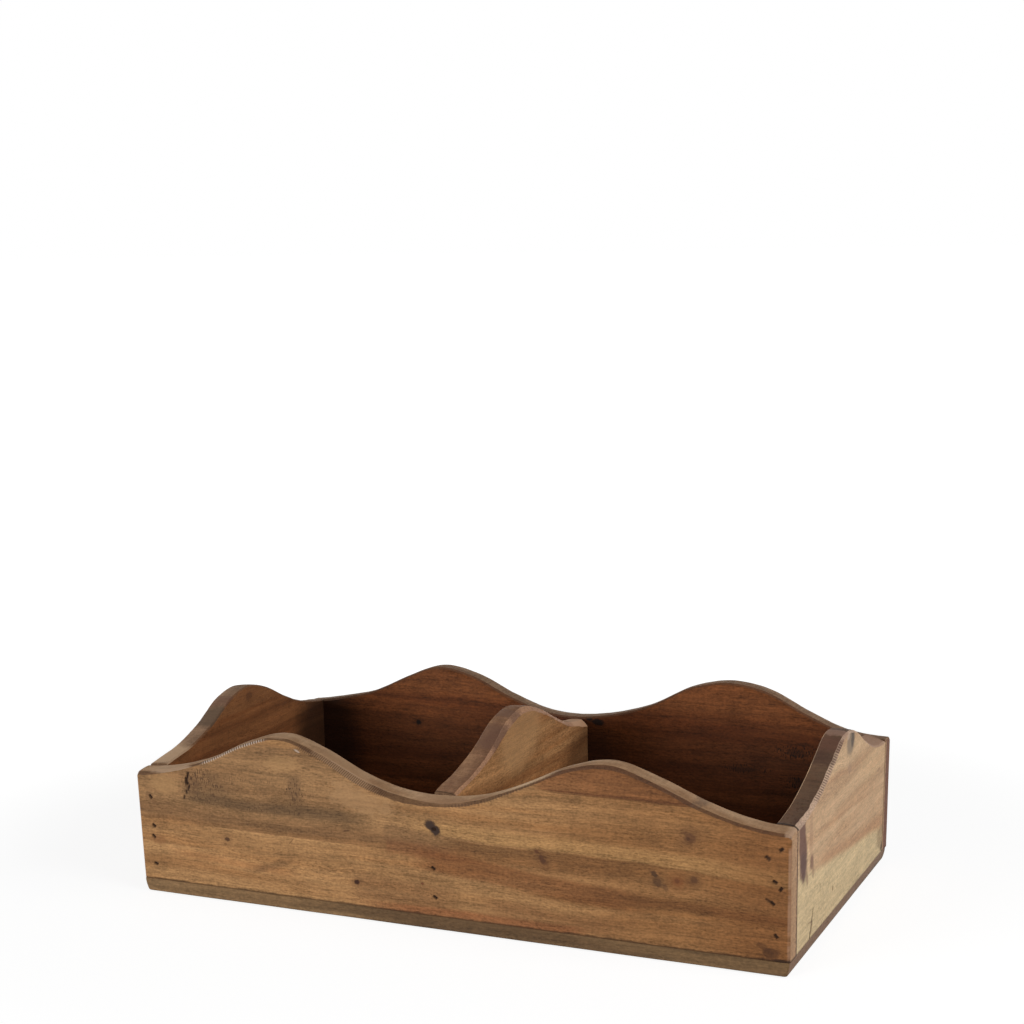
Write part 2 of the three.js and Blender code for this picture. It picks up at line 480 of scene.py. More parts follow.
@dataclass(frozen=True)
class Patch:
    """A place where the planer left short dark ticks across the grain."""

    along: float
    height: float
    half_along: float
    half_height: float
    strength: float

    def mask(self, at: Surface) -> Value:
        """Where the patch lies.

        Args:
            at: the board's surface.

        Returns:
            A soft oval, times the patch's strength.
        """
        first = (at.along - self.along) * (1 / self.half_along)
        second = (at.height - self.height) * (1 / self.half_height)
        return (1 - at.g.smooth(first * first + second * second, 0.25, 1.1)) * self.strength


@dataclass(frozen=True)
class Hatch:
    """The marks of saw teeth in a row along a rim's outer arris."""

    start: float
    stop: float
    near: float
    far: float
    pitch: float
    slant: float
    tint: Tint
    strength: float
    fade: float = 6.0

    def mask(self, at: Surface) -> Value:
        """Where the teeth bit.

        Args:
            at: the board's surface.

        Returns:
            A mask of the teeth.
        """
        g, drop = at.g, at.carried(Carried.DROP)
        angle = (at.along + at.height * self.slant) * (2 * math.pi / self.pitch)
        teeth = g.smooth(angle.sine(), -0.35, 0.45)
        stretch = g.smooth(at.along, self.start, self.start + self.fade)
        stretch = stretch * (1 - g.smooth(at.along, self.stop - self.fade, self.stop))
        stretch = stretch * g.smooth(drop, self.near, self.near + 0.4)
        return teeth * stretch * (1 - g.smooth(drop, self.far - 0.6, self.far + 0.6)) * at.near


@dataclass(frozen=True)
class Wood:
    """One board's finish: waxed, worn wood with its own colours, bands, knots and wear, and some painted
    shade and light.
    """

    name: str
    light: Tint
    dark: Tint
    warm: Tint
    rim: Tint
    # the rim's darker colour: random patches, and painted shade near the face that shows
    rim_dark: Tint
    arris: Tint
    seed: float
    bands: tuple[Band, ...] = ()
    marks: tuple[Mark, ...] = ()
    patches: tuple[Patch, ...] = ()
    hatches: tuple[Hatch, ...] = ()
    rim_strength: float = 0.9
    arris_strength: float = 0.75
    # strength of the pale line on the rim's edges, partly wear and partly painted highlight
    worn_and_lit_line: float = 0.5
    saw_lines: float = 0.25
    grain_height: float = 1.0
    depth_size: float = 1.0
    foot_dirt: float = 0.6
    end_dirt: float = 0.0
    end_tint: Tint = (132, 100, 72)
    end_strength: float = 0.85
    end_pale: float = 0.0
    tick: Tint = (56, 38, 27)
    corner_wear: float = 0.0
    end_seam: float = 0.0
    contrast: float = 1.0
    sheen: float = 0.12
    bump: float = 0.35
    bump_depth: float = 0.00035

    def dress(self, lie: Lie, show: float, half_span: float, foot: float) -> bpy.types.Material:
        """Builds the material.

        Args:
            lie: how the board lies.
            show: place of the face that shows, on the board's thickness axis.
            half_span: half the board's length.
            foot: height of the board's lower edge.

        Returns:
            The material.
        """
        g = Graph(bpy.data.materials.new(self.name))
        at = Surface(g, self, lie, show, half_span)
        colour = self.marked(at, self.grained(at))
        colour, bite = self.toothed(at, self.rimmed(at, colour))
        colour = self.soiled(at, self.ended(at, colour), half_span, foot)
        roughness = 0.62 + at.swing(FIBRE, 0.25) + at.pores * 0.15 + at.carried(Carried.TOP) * 0.08
        bump = {"Strength": self.bump, "Distance": self.bump_depth, "Height": self.relief(at, bite)}
        sockets = {
            "Base Color": colour,
            "Roughness": roughness,
            "Specular IOR Level": self.sheen,
            "Normal": g.node("ShaderNodeBump", {}, bump),
        }
        return g.finish(g.node("ShaderNodeBsdfPrincipled", {}, sockets))

    def grained(self, at: Surface) -> Value:
        """The bare wood: its colours, bands, fibres and pores.

        Args:
            at: the board's surface.

        Returns:
            The colour.
        """
        g = at.g
        colour = g.mix(g.smooth(at.noise(TONE), 0.34, 0.68), self.light, self.dark)
        colour = g.mix(g.smooth(at.noise(WARMTH), 0.42, 0.75) * 0.6, colour, self.warm)
        for band in self.bands:
            colour = g.mix(band.mask(at), colour, band.tint)
        light = 1.0
        for noise, amount in LIGHT_SWINGS:
            light = light + at.swing(noise, amount * self.contrast)
        colour = g.scaled(colour, light)
        return g.mix(at.pores * (0.48 * self.contrast), colour, g.scaled(colour, 0.5))

    def marked(self, at: Surface, colour: Value) -> Value:
        """Adds planer ticks, knots, stains, bruises and patches of painted shade to the face that shows.

        Args:
            at: the board's surface.
            colour: the bare wood.

        Returns:
            The colour with them.
        """
        g = at.g
        if self.patches:
            scored = self.patches[0].mask(at)
            for patch in self.patches[1:]:
                scored = scored.most(patch.mask(at))
            uneven = at.noise(TICKS) + scored * 0.16 + at.swing(MOTTLE, 0.3)
            colour = g.mix(g.smooth(uneven, 0.69, 0.77) * scored * at.near, colour, self.tick)
        for mark in self.marks:
            if mark.on_rim:
                continue
            core, halo = mark.masks(at, at.frayed)
            if mark.halo:
                colour = g.mix(halo * at.near * mark.halo, colour, g.mix(0.75, colour, mark.tint))
            colour = g.mix(core * at.near * mark.strength, colour, mark.tint)
        return colour

    def rimmed(self, at: Surface, colour: Value) -> Value:
        """Adds the sawn rim, its worn arrises and its marks, with painted shade and highlight on the rim's
        flat.

        Args:
            at: the board's surface.
            colour: the faces.

        Returns:
            The colour with the rim.
        """
        g, cloud = at.g, at.noise(RIM_CLOUD)
        top, edge, back = (at.carried(number) for number in (Carried.TOP, Carried.EDGE, Carried.BACK))
        # Painted shade: the rim's flat goes towards the darker rim colour near the face that shows, mixed
        # with random cloudy patches.
        flat = g.mix(g.smooth(cloud - back * 0.3, 0.1, 0.5), self.rim, self.rim_dark)
        sawn = at.swing(RIM_FINE, 0.6) + at.swing(RIM_GRIT, 0.5) + at.swing(RIM_SAW, 4 * self.saw_lines)
        rubbed = at.swing(RIM_FINE, 0.9) + at.swing(RIM_CLOUD, 0.5) + at.swing(RIM_GRIT, 1.3)
        colour = g.mix(top * self.rim_strength, colour, g.scaled(flat, 1 + sawn))
        arris = g.scaled(self.arris, 1 + rubbed)
        colour = g.mix(edge * at.near * self.arris_strength, colour, arris)
        for mark in self.marks:
            if mark.on_rim:
                core = mark.masks(at, at.frayed)[0]
                colour = g.mix(core * top.most(edge) * mark.strength, colour, mark.tint)
        # A pale worn line along the edges of the rim's flat: partly wear, partly a painted highlight that
        # is strongest on the far edge.
        brink = top * (1 - top) * 4
        worn = brink * g.smooth(cloud + back * 0.3, 0.45, 0.75)
        return g.mix(worn * self.worn_and_lit_line, colour, PALE_WEAR_AND_HIGHLIGHT)

    def toothed(self, at: Surface, colour: Value) -> tuple[Value, Value | float]:
        """Adds the marks of saw teeth along the rim.

        Args:
            at: the board's surface.
            colour: the faces and the rim.

        Returns:
            The colour with them, and where they bit.
        """
        bite = 0.0
        for hatch in self.hatches:
            teeth = hatch.mask(at)
            colour = at.g.mix(teeth * hatch.strength, colour, hatch.tint)
            bite = teeth + bite
        return colour, bite

    def ended(self, at: Surface, colour: Value) -> Value:
        """Adds the end grain, its pale edge, the worn corners and the seam behind the end.

        Args:
            at: the board's surface.
            colour: the rest of the board.

        Returns:
            The colour with the ends.
        """
        g, rings = at.g, at.noise(END_RINGS)
        dots = g.smooth(at.noise(END_DOTS), 0.55, 0.7)
        ended = g.scaled(g.mix(dots * 0.5, self.end_tint, END_PORE), 0.55 + rings * 0.9)
        if self.end_pale:
            inward = at.past + at.swing(RIM_FINE, 5)
            pale_part = 1 - g.smooth(inward, self.end_pale - 0.7, self.end_pale + 0.7)
            right_hand = g.smooth(at.along, 0.0, 1.0)
            ended = g.mix(pale_part * right_hand, ended, g.scaled(PALE_END, 0.6 + rings * 0.8))
        colour = g.mix(at.end * self.end_strength, colour, ended)
        corner = g.smooth(at.turned, 0.15, 0.5) * (1 - at.end) * g.smooth(at.noise(RIM_CLOUD), 0.35, 0.55)
        colour = g.mix(corner * self.corner_wear, colour, WORN_CORNER)
        seam = g.smooth(at.past + at.swing(RIM_FINE, 6), 9.6, 11.6) * at.end
        return g.mix(seam * self.end_seam, colour, SEAM)

    def soiled(self, at: Surface, colour: Value, half_span: float, foot: float) -> Value:
        """Adds the dirt along the foot and the ends and in the pits.

        Args:
            at: the board's surface.
            colour: the clean board.
            half_span: half the board's length.
            foot: height of the board's lower edge.

        Returns:
            The colour with the dirt.
        """
        g, ragged = at.g, at.noise(RAGGED)
        foot_gap = at.height - foot - ragged * 2.2
        dirt = (1 - g.smooth(foot_gap, -0.8, 0.5)) * self.foot_dirt
        if self.end_dirt:
            side_gap = half_span - abs(at.along) - (ragged + at.noise(RIM_FINE) - 0.9) * 5.5
            dirt = dirt.most((1 - g.smooth(side_gap, -0.6, 1.3)) * self.end_dirt)
        colour = g.mix(dirt, colour, DIRT)
        return g.mix(at.carried(Carried.PIT), colour, PIT_BOTTOM)

    def relief(self, at: Surface, bite: Value | float) -> Value:
        """The fine relief of the wood.

        Args:
            at: the board's surface.
            bite: where saw teeth bit.

        Returns:
            Its height, for the bump.
        """
        wood = at.noise(FIBRE) * 0.5 + at.noise(STREAK) * 0.5 - at.pores * 0.9 + at.noise(SPECKLE) * 0.12
        sawn = at.noise(RIM_FINE) + at.noise(RIM_SAW) * (4 * self.saw_lines)
        return wood + sawn * at.carried(Carried.TOP) * 0.5 - bite * 1.2


@dataclass(frozen=True)
class Iron:
    """Dark, oxidised brad heads."""

    name: str = "dark_brad_iron"
    dark: Tint = (44, 31, 23)
    rusty: Tint = (62, 42, 30)
    metallic: float = 0.1
    sheen: float = 0.1
    bump: float = 0.4
    bump_depth: float = 0.0001

    def dress(self) -> bpy.types.Material:
        """Builds the material.

        Returns:
            The material.
        """
        g = Graph(bpy.data.materials.new(self.name))
        place = g.millimetres(g.node("ShaderNodeTexCoord", {}, {}, "Object"))
        rust = g.noise(place, RUST)
        bump = {"Strength": self.bump, "Distance": self.bump_depth, "Height": rust}
        sockets = {
            "Base Color": g.mix(g.smooth(rust, 0.4, 0.7), self.dark, self.rusty),
            "Roughness": 0.7 + rust * 0.25,
            "Metallic": self.metallic,
            "Specular IOR Level": self.sheen,
            "Normal": g.node("ShaderNodeBump", {}, bump),
        }
        return g.finish(g.node("ShaderNodeBsdfPrincipled", {}, sockets))


@dataclass(frozen=True)
class Pit:
    """A sunk oblong: a set brad's hole, a dent or a crack."""

    along: float
    height: float
    length: float
    width: float
    turn: float
    depth: float
    stain: float = 1.0
    soft: float = 0.6

    def sunk(self, along: Array, height: Array, grown: float = 0.0) -> Array:
        """How far each point is inside the oblong.

        Args:
            along: the points' places along the board.
            height: their heights.
            grown: a margin that the oblong is grown by.

        Returns:
            Shares from 0 outside to 1 inside.
        """
        cosine, sine = math.cos(self.turn), math.sin(self.turn)
        across, up = along - self.along, height - self.height
        first = np.abs(across * cosine + up * sine) - self.length / 2
        second = np.abs(up * cosine - across * sine) - self.width / 2
        outside = np.hypot(np.maximum(first, 0), np.maximum(second, 0))
        inside = np.minimum(np.maximum(first, second), 0)
        part = np.clip(0.5 - (outside + inside - grown) / self.soft, 0, 1)
        return part * part * (3 - 2 * part)


def brad_pits(prefix: str, lie: Lie, side: int) -> list[Pit]:
    """The holes over a row of set brads, read from the brads themselves.

    Args:
        prefix: start of the brads' names.
        lie: how the board that they enter lies.
        side: which way their heads face on the board's thickness axis.

    Returns:
        One pit for each brad.
    """
    head_depth = 0.05
    hole = Pit(0, 0, length=2.4, width=1.25, turn=0, depth=1.0, stain=0.85, soft=0.6)
    pits = []
    for name, brad in sorted(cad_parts.items()):
        if not name.startswith(prefix):
            continue
        points = np.array([vertex.co[:] for vertex in brad.data.vertices]) / MM
        out = points[:, lie.value[2]] * side
        head = points[out > out.max() - head_depth][:, list(lie.value[:2])]
        head = np.unique(np.round(head, 3), axis=0)
        centre = head.mean(axis=0)
        long_way = np.linalg.svd(head - centre)[2][0]
        turn = math.atan2(long_way[1], long_way[0])
        pits.append(replace(hole, along=centre[0], height=centre[1], turn=turn))
    return pits


def spaced(low: float, high: float, step: float, zones: list[Pair], fine: float) -> Array:
    """Places in a row, closer together inside some zones.

    Args:
        low: the first place.
        high: the last place.
        step: the distance between two places.
        zones: stretches where they are closer.
        fine: the distance there.

    Returns:
        The places.
    """
    places = [low]
    while places[-1] < high - 1e-6:
        here = places[-1]
        close = any(start - step <= here <= stop for start, stop in zones)
        places.append(min(high, here + (fine if close else step)))
    if len(places) > 2 and places[-1] - places[-2] < fine / 2:
        del places[-2]
    return np.array(places)


def spread(values: tuple[float, ...], along: Array, half: float) -> Array:
    """A size that changes along a board, from values at equal steps from end to end."""
    return np.interp(along, np.linspace(-half, half, len(values)), values)


def wobble(first: Array, second: Array | float, size: float, seed: int) -> Array:
    """Smooth seeded unevenness over two coordinates.

    Args:
        first: the first coordinate.
        second: the second coordinate.
        size: the size of its waves.
        seed: sets it apart.

    Returns:
        Numbers between -1 and 1.
    """
    waves = 6
    draw = np.random.default_rng(seed)
    total = np.zeros(np.broadcast(first, second).shape)
    for _ in range(waves):
        angle = draw.uniform(0, 2 * math.pi)
        rate = draw.uniform(0.5, 1.6) * 2 * math.pi / size
        phase = draw.uniform(0, 2 * math.pi)
        total = total + np.sin((first * math.cos(angle) + second * math.sin(angle)) * rate + phase)
    return total / waves


def rounding(radius: float) -> tuple[Array, Array]:
    """A quarter round from the start of a curve to where it ends square on.

    Args:
        radius: its radius.

    Returns:
        Distances from the end and from the side of it, at a few steps.
    """
    turn = np.linspace(0, QUARTER, 6)
    return radius * (1 - np.sin(turn)), radius * (1 - np.cos(turn))


def skin(
    name: str, points: Array, numbers: dict[Carried, Array], along: Array, ring: Array, caps: Array
) -> bpy.types.Object:
    """Makes a closed mesh from rings of points with flat ends.

    Args:
        name: name of the piece.
        points: places in millimetres, as columns by ring by 3.
        numbers: point numbers to carry, each as columns by ring.
        along: place of each column, for the bake's map.
        ring: place of each ring point and of the end of the ring, for the bake's map.
        caps: thickness and height of the ring's points, for the end faces' map.

    Returns:
        The piece.
    """
    columns, count = points.shape[:2]
    index = np.arange(columns * count).reshape(columns, count)
    after = np.roll(index, -1, axis=1)
    quads = np.stack([index[:-1], index[1:], after[1:], after[:-1]], axis=-1).reshape(-1, 4)
    faces = [tuple(map(int, face)) for face in (*quads, index[0], index[-1][::-1])]
    mesh = bpy.data.meshes.new(name)
    mesh.from_pydata([tuple(map(float, point)) for point in points.reshape(-1, 3) * MM], [], faces)
    for number, given in numbers.items():
        layer = mesh.attributes.new(number.value, "FLOAT", "POINT")
        layer.data.foreach_set("value", given.astype(np.float32).ravel())
    layer = mesh.uv_layers.new(name=MAP_NAME)
    layer.data.foreach_set("uv", bake_map(along, ring, caps).astype(np.float32).ravel())
    work = bmesh.new()
    work.from_mesh(mesh)
    bmesh.ops.recalc_face_normals(work, faces=work.faces)
    work.to_mesh(mesh)
    work.free()
    mesh.polygons.foreach_set("use_smooth", [True] * len(mesh.polygons))
    mesh.set_sharp_from_angle(angle=SMOOTH_BELOW)
    piece = bpy.data.objects.new(name, mesh)
    bpy.context.scene.collection.objects.link(piece)
    return piece


def bake_map(along: Array, ring: Array, caps: Array) -> Array:
    """Lays a skin out flat: the rings unrolled as one sheet and the two ends above it.

    Args:
        along: place of each column.
        ring: place of each ring point and of the end of the ring.
        caps: thickness and height of the ring's points.

    Returns:
        The map's place of each corner of each face.
    """
    margin = 4.0
    columns, count = len(along), len(caps)
    left, right = (np.repeat(edge - along[0], count) for edge in (along[:-1], along[1:]))
    low, high = (np.tile(edge, columns - 1) for edge in (ring[:-1], ring[1:]))
    sheet = np.stack([left, low, right, low, right, high, left, high], axis=1)
    above = ring[-1] + margin
    first = np.stack([caps[:, 1], caps[:, 0] + above], axis=1)
    second = first + [0, margin + np.ptp(caps[:, 0])]
    laid = np.concatenate([sheet.reshape(-1, 2), first, second[::-1]]) + margin
    return laid / (laid.max() + margin)


def put_in_place(piece: bpy.types.Object, node: str) -> None:
    """Lets a dressed piece stand for a solid of the model.

    Args:
        piece: the piece.
        node: name of the solid.
    """
    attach(piece, "root")
    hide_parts(node)


@dataclass
class Board:
    """An upright board with a waved rim, rounded arrises and set brads."""

    node: str
    slot: str
    wood: Wood
    lie: Lie
    outer: int  # which way its outer face looks
    rim: tuple[float, ...]  # lifts at equal steps, as shares of the crest rise
    half_rim: float  # half the length that the lifts span
    shows_outside: bool = True
    tip: tuple[float, ...] = (0.5,)  # how much higher the rim's inner side is
    arris_out: tuple[float, ...] = (1.5,)
    arris_in: float = 0.8
    arris_bend: float = 1.12  # 1 for a flat chamfer and 2 for a round
    end_round: Pair = (2.6, 2.6)
    end_gap: float = 0.0
    skew: float = 0.0
    shift_low: Pair = (0.0, 0.0)  # along the board, at the two ends of its foot
    shift_high: Pair = (0.0, 0.0)  # and at the two ends of its rim
    lean_low: Pair = (0.0, 0.0)  # through its thickness, likewise
    lean_high: Pair = (0.0, 0.0)
    row: float = 1.6
    column: float = 2.4
    fine: float = 0.5
    ease: float = 0.45  # the foot's small bevel
    split: float = 62.0  # height above which the rows follow the rim
    uneven: float = 0.12
    seed: int = 1
    brads: str = ""
    scars: tuple[Pit, ...] = ()

    def rim_height(self, along: Array) -> Array:
        """Height of the rim, as a smooth curve through its lifts.

        Args:
            along: places along the board.

        Returns:
            The heights there.
        """
        lifts = np.array(self.rim)
        last = len(lifts) - 1
        spot = np.clip((along / self.half_rim + 1) / 2 * last, 0, last)
        index = np.minimum(spot.astype(int), last - 1)
        part = spot - index
        before, start, stop, after = (lifts[np.clip(index + step, 0, last)] for step in (-1, 0, 1, 2))
        slope_in, slope_out, rise = (stop - before) / 2, (after - start) / 2, stop - start
        bend = 3 * rise - 2 * slope_in - slope_out + part * (slope_in + slope_out - 2 * rise)
        return VALLEY_HEIGHT + CREST_RISE * (start + part * (slope_in + part * bend))

    def build(self) -> bpy.types.Object:
        """Makes the board's mesh, dresses it and puts it in place of the solid one.

        Returns:
            The board.
        """
        low, high = (np.array(corner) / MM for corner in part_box(self.node))
        axis, thick_axis = self.lie.value[0], self.lie.value[2]
        half = (high[axis] - low[axis]) / 2 - self.end_gap
        middle = (high[axis] + low[axis]) / 2
        foot = low[2]
        thick = high[thick_axis] - low[thick_axis] - abs(self.skew)
        face = (high[thick_axis] + low[thick_axis]) / 2 + self.outer * thick / 2
        pits = brad_pits(self.brads, self.lie, self.outer) if self.brads else []
        pits += self.scars

        along, inset = self.stations(half, pits)
        along = along + middle
        column = along[:, None]
        depth, height, numbers, ring, caps = self.section(along, inset, foot, thick, pits)
        placed = np.zeros(depth.shape + (3,))
        placed[..., axis] = self.pushed(column, half, height, self.shift_low, self.shift_high) + column
        lean = self.pushed(column, half, height, self.lean_low, self.lean_high)
        placed[..., thick_axis] = face - self.outer * depth + lean + self.skew * column / (2 * half)
        placed[..., 2] = height
        piece = skin(self.node + "_worn", placed, numbers, along, ring, caps)
        show = face if self.shows_outside else face - self.outer * thick
        piece.data.materials.append(self.wood.dress(self.lie, float(show), float(half), float(foot)))
        put_in_place(piece, self.node)
        return piece

    @staticmethod
    def pushed(column: Array, half: float, height: Array, low: Pair, high: Pair) -> Array:
        """How far hand fitting pushed each point.

        Args:
            column: the points' places along the board.
            half: half the board's length.
            height: the points' heights.
            low: the pushes at the two ends of the foot.
            high: the pushes at the two ends of the rim.

        Returns:
            The push at each point.
        """
        part = (column + half) / (2 * half)
        at_foot = low[0] + (low[1] - low[0]) * part
        at_rim = high[0] + (high[1] - high[0]) * part
        return at_foot + (at_rim - at_foot) * (height / VALLEY_HEIGHT)

    def stations(self, half: float, pits: list[Pit]) -> tuple[Array, Array]:
        """Places along the board, close together at the ends and round the pits.

        Args:
            half: half the board's length.
            pits: what is sunk into the outer face.

        Returns:
            The places, and how far the section is drawn in there to round the ends.
        """
        zones = [(pit.along - 4, pit.along + 5) for pit in pits]
        first, last = self.end_round
        (reach_first, drawn_first), (reach_last, drawn_last) = rounding(first), rounding(last)
        inner = spaced(-half + first, half - last, self.column, zones, self.fine)[1:-1]
        along = np.concatenate([(-half + reach_first)[::-1], inner, half - reach_last])
        return along, np.concatenate([drawn_first[::-1], np.zeros(len(inner)), drawn_last])

    def section(
        self, along: Array, inset: Array, foot: float, thick: float, pits: list[Pit]
    ) -> tuple[Array, Array, dict[Carried, Array], Array, Array]:
        """The board's outline at each station, going up the outer face and down the inner one.

        Args:
            along: the stations.
            inset: how far the section is drawn in at each.
            foot: height of the lower edge.
            thick: thickness of the board.
            pits: what is sunk into the outer face.

        Returns:
            Depth and height of each point, the numbers that it carries, and the ring's and the ends'
            places on the bake's map.
        """
        column = along[:, None]
        hand = 0.35 * wobble(column, 0.0, 55, self.seed) + 0.14 * wobble(column, 0.0, 11, self.seed + 1)
        top = self.rim_height(column) + hand + 0.1
        tip = spread(self.tip, column, self.half_rim)
        outer_top, inner_top = top - 0.6 * tip, top + 0.4 * tip
        slow, quick = wobble(column, 0.0, 34, self.seed + 2), wobble(column, 0.0, 7, self.seed + 6)
        out = spread(self.arris_out, column, self.half_rim) * (1 + 0.25 * slow + 0.15 * quick)
        within = self.arris_in * (1 + 0.3 * wobble(column, 0.0, 31, self.seed + 3))
        brow = inner_top - within

        zones = [(pit.height - 2.5, pit.height + 2.5) for pit in pits if pit.height < self.split]
        lower = spaced(foot + self.ease, self.split, self.row, zones, self.fine)
        upper = np.linspace(0, 1, 19)[1:]
        turn = np.linspace(0, QUARTER, 8)[1:-1]
        power = 2 / self.arris_bend
        near_in, near_up = 1 - np.cos(turn) ** power, 1 - np.sin(turn) ** power
        across = np.linspace(0, 1, 6)
        crown = 0.25 * np.sin(np.pi * across)
        down = np.linspace(0, 1, 30)
        below = np.linspace(0, 1, 5)
        ones = np.ones_like(column)
        runs = (
            (0 * ones * lower, ones * lower),
            (0 * ones * upper, self.split + (outer_top - out - self.split) * upper),
            (out * near_in, outer_top - out * near_up),
            (out + (thick - out - within) * across, outer_top + (inner_top - outer_top) * across + crown),
            (thick - within * near_in[::-1], inner_top - within * near_up[::-1]),
            (thick * np.ones_like(down) * ones, brow + (foot + self.ease - brow) * down),
            (thick - self.ease + (2 * self.ease - thick) * ones * below, foot * np.ones_like(below) * ones),
        )
        depth, height = (np.concatenate(parts, axis=1) for parts in zip(*runs))
        starts = np.cumsum([0] + [len(run[0][0]) for run in runs])
        outer, inner = slice(0, starts[2]), slice(starts[5], starts[6])
        top_part, edge_part = np.zeros(depth.shape), np.zeros(depth.shape)
        top_part[:, starts[3] : starts[4]] = 1
        edge_part[:, starts[2] : starts[3]] = edge_part[:, starts[4] : starts[5]] = 1

        outer_height, inner_height = height[:, outer], height[:, inner]
        depth[:, outer] += self.uneven * (1 + wobble(column, outer_height, 46, self.seed + 4))
        depth[:, inner] -= self.uneven * (1 + wobble(column, inner_height, 52, self.seed + 5))
        push = self.pushed(column, abs(along[0]), outer_height, self.shift_low, self.shift_high)
        pit_part = np.zeros(depth.shape)
        for pit in pits:
            depth[:, outer] += pit.sunk(column + push, outer_height) * pit.depth
            stain = pit.sunk(column + push, outer_height, grown=0.25) * pit.stain
            pit_part[:, outer] = np.maximum(pit_part[:, outer], stain)

        back = np.clip(depth / thick, 0, 1)
        numbers = {
            Carried.TOP: top_part,
            Carried.EDGE: edge_part,
            Carried.DROP: np.maximum(outer_top - height, 0),
            Carried.PIT: pit_part,
            Carried.BACK: back if self.shows_outside else 1 - back,
        }
        draw = inset[:, None]
        depth = draw + depth * (thick - draw) / thick
        height = foot + (height - foot) * (top - foot - 1.4 * draw) / (top - foot)
        steps = np.hypot(np.diff(depth.max(0)), np.diff(height.max(0))) + 0.05
        ring = np.concatenate([[0], np.cumsum(steps), [steps.sum() + 2 * self.ease]])
        middle = len(along) // 2
        caps = np.stack([depth[middle] - depth[middle].min(), height[middle] - foot], axis=1)
        return depth, height, numbers, ring, caps


@dataclass
class BaseBoard:
    """The flat board under the walls, with brads set up through it."""

    node: str
    slot: str
    wood: Wood
    arris: float = 1.4
    tuck: Pair = (2.4, 1.8)  # how far the underside falls short at the two ends
    short: float = 0.35  # how far the right-hand end falls short
    corner: float = 1.5
    ease: float = 0.5
    column: float = 5.0
    row: float = 6.0
    fine: float = 0.55
    pit_reach: float = 3.0  # how far round a pit the mesh is fine
    brads: str = "brad_base_"

    def build(self) -> bpy.types.Object:
        """Makes the base's mesh, dresses it and puts it in place of the solid one.

        Returns:
            The base.
        """
        half, wide, thick = np.array(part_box(self.node)[1]) / MM
        pits = brad_pits(self.brads, Lie.FLAT, -1)
        reach, drawn = rounding(self.corner)
        zones = [(pit.along - self.pit_reach, pit.along + self.pit_reach) for pit in pits]
        inner = spaced(-half + self.corner, half - self.corner, self.column, zones, self.fine)[1:-1]
        along = np.concatenate([(-half + reach)[::-1], inner, half - reach])
        inset = np.concatenate([drawn[::-1], np.zeros(len(inner)), drawn])[:, None]

        y, z, under = self.outline(wide, thick, pits)
        column = along[:, None]
        ones = np.ones_like(column)
        grid_y, grid_z = ones * y, ones * z
        pit_part = np.zeros(grid_y.shape)
        for pit in pits:
            part = pit.sunk(column, grid_y[:, under])
            grid_z[:, under] += part * pit.depth
            pit_part[:, under] = np.maximum(pit_part[:, under], part)
        grid_x, grid_y, grid_z = self.worn(column, inset, grid_y, grid_z, (half, wide, thick))

        steps = np.hypot(np.diff(y), np.diff(z)) + 0.05
        ring = np.concatenate([[0], np.cumsum(steps), [steps.sum() + self.row]])
        caps = np.stack([z, y + wide], axis=1)
        none = np.zeros(grid_y.shape)
        numbers = dict.fromkeys(Carried, none)
        numbers |= {Carried.DROP: none + NO_RIM, Carried.PIT: pit_part}
        placed = np.stack([grid_x, grid_y, grid_z], axis=-1)
        piece = skin(self.node + "_worn", placed, numbers, along, ring, caps)
        piece.data.materials.append(self.wood.dress(Lie.FLAT, 0.0, float(half), NO_FOOT))
        put_in_place(piece, self.node)
        return piece

    def outline(self, wide: float, thick: float, pits: list[Pit]) -> tuple[Array, Array, slice]:
        """The base's section: up the front, over the top, down the back and along the underside.

        Args:
            wide: half its width.
            thick: its thickness.
            pits: what is sunk into the underside.

        Returns:
            Places across it, heights, and which of them are on the underside.
        """
        curl_in, curl_up = rounding(self.arris)
        zones = [(pit.height - self.pit_reach, pit.height + self.pit_reach) for pit in pits]
        under = spaced(-wide + self.arris, wide - self.arris, self.row, zones, self.fine)[1:-1]
        across = np.linspace(-wide + self.ease, wide - self.ease, 40)
        side = np.linspace(self.arris, thick - self.ease, 6)[1:]
        runs = (
            (-wide + curl_in, curl_up),
            (np.full(len(side), -wide), side),
            (across, np.full(len(across), thick)),
            (np.full(len(side), wide), side[::-1]),
            ((wide - curl_in)[::-1], curl_up[::-1]),
            (under[::-1], np.zeros(len(under))),
        )
        y, z = (np.concatenate(parts) for parts in zip(*runs))
        return y, z, slice(len(y) - len(under), len(y))

    def worn(
        self, column: Array, inset: Array, grid_y: Array, grid_z: Array, reach: tuple[float, float, float]
    ) -> tuple[Array, Array, Array]:
        """Wears the base: uneven sides and arrises, rounded corners and ends that fall short.

        Args:
            column: places along the base.
            inset: how far the section is drawn in at each.
            grid_y: the points' places across it.
            grid_z: their heights.
            reach: half its length, half its width and its thickness.

        Returns:
            The worn points' places along and across it, and their heights.
        """
        half, wide, thick = reach
        sides = np.abs(grid_y) > wide - 0.01
        grid_y = grid_y - np.sign(grid_y) * sides * 0.14 * (1 + wobble(column, grid_z, 48, 41))
        lift = np.where(grid_z < self.arris, 0.1 * (1 + wobble(column, grid_y, 60, 42)), 0)
        curled = np.abs(grid_y) > wide - self.arris - 0.1
        grid_z = np.where(curled, grid_z + lift * (1 - grid_z / self.arris), grid_z)
        grid_y = grid_y * (wide - inset) / wide
        tuck = np.where(column < 0, *self.tuck) * np.clip(1 - grid_z / thick, 0, 1) ** 2
        grid_x = column * (1 - tuck / half)
        grid_x = np.where(grid_x > 0, grid_x * (1 - self.short / half), grid_x)
        return grid_x, grid_y, grid_z


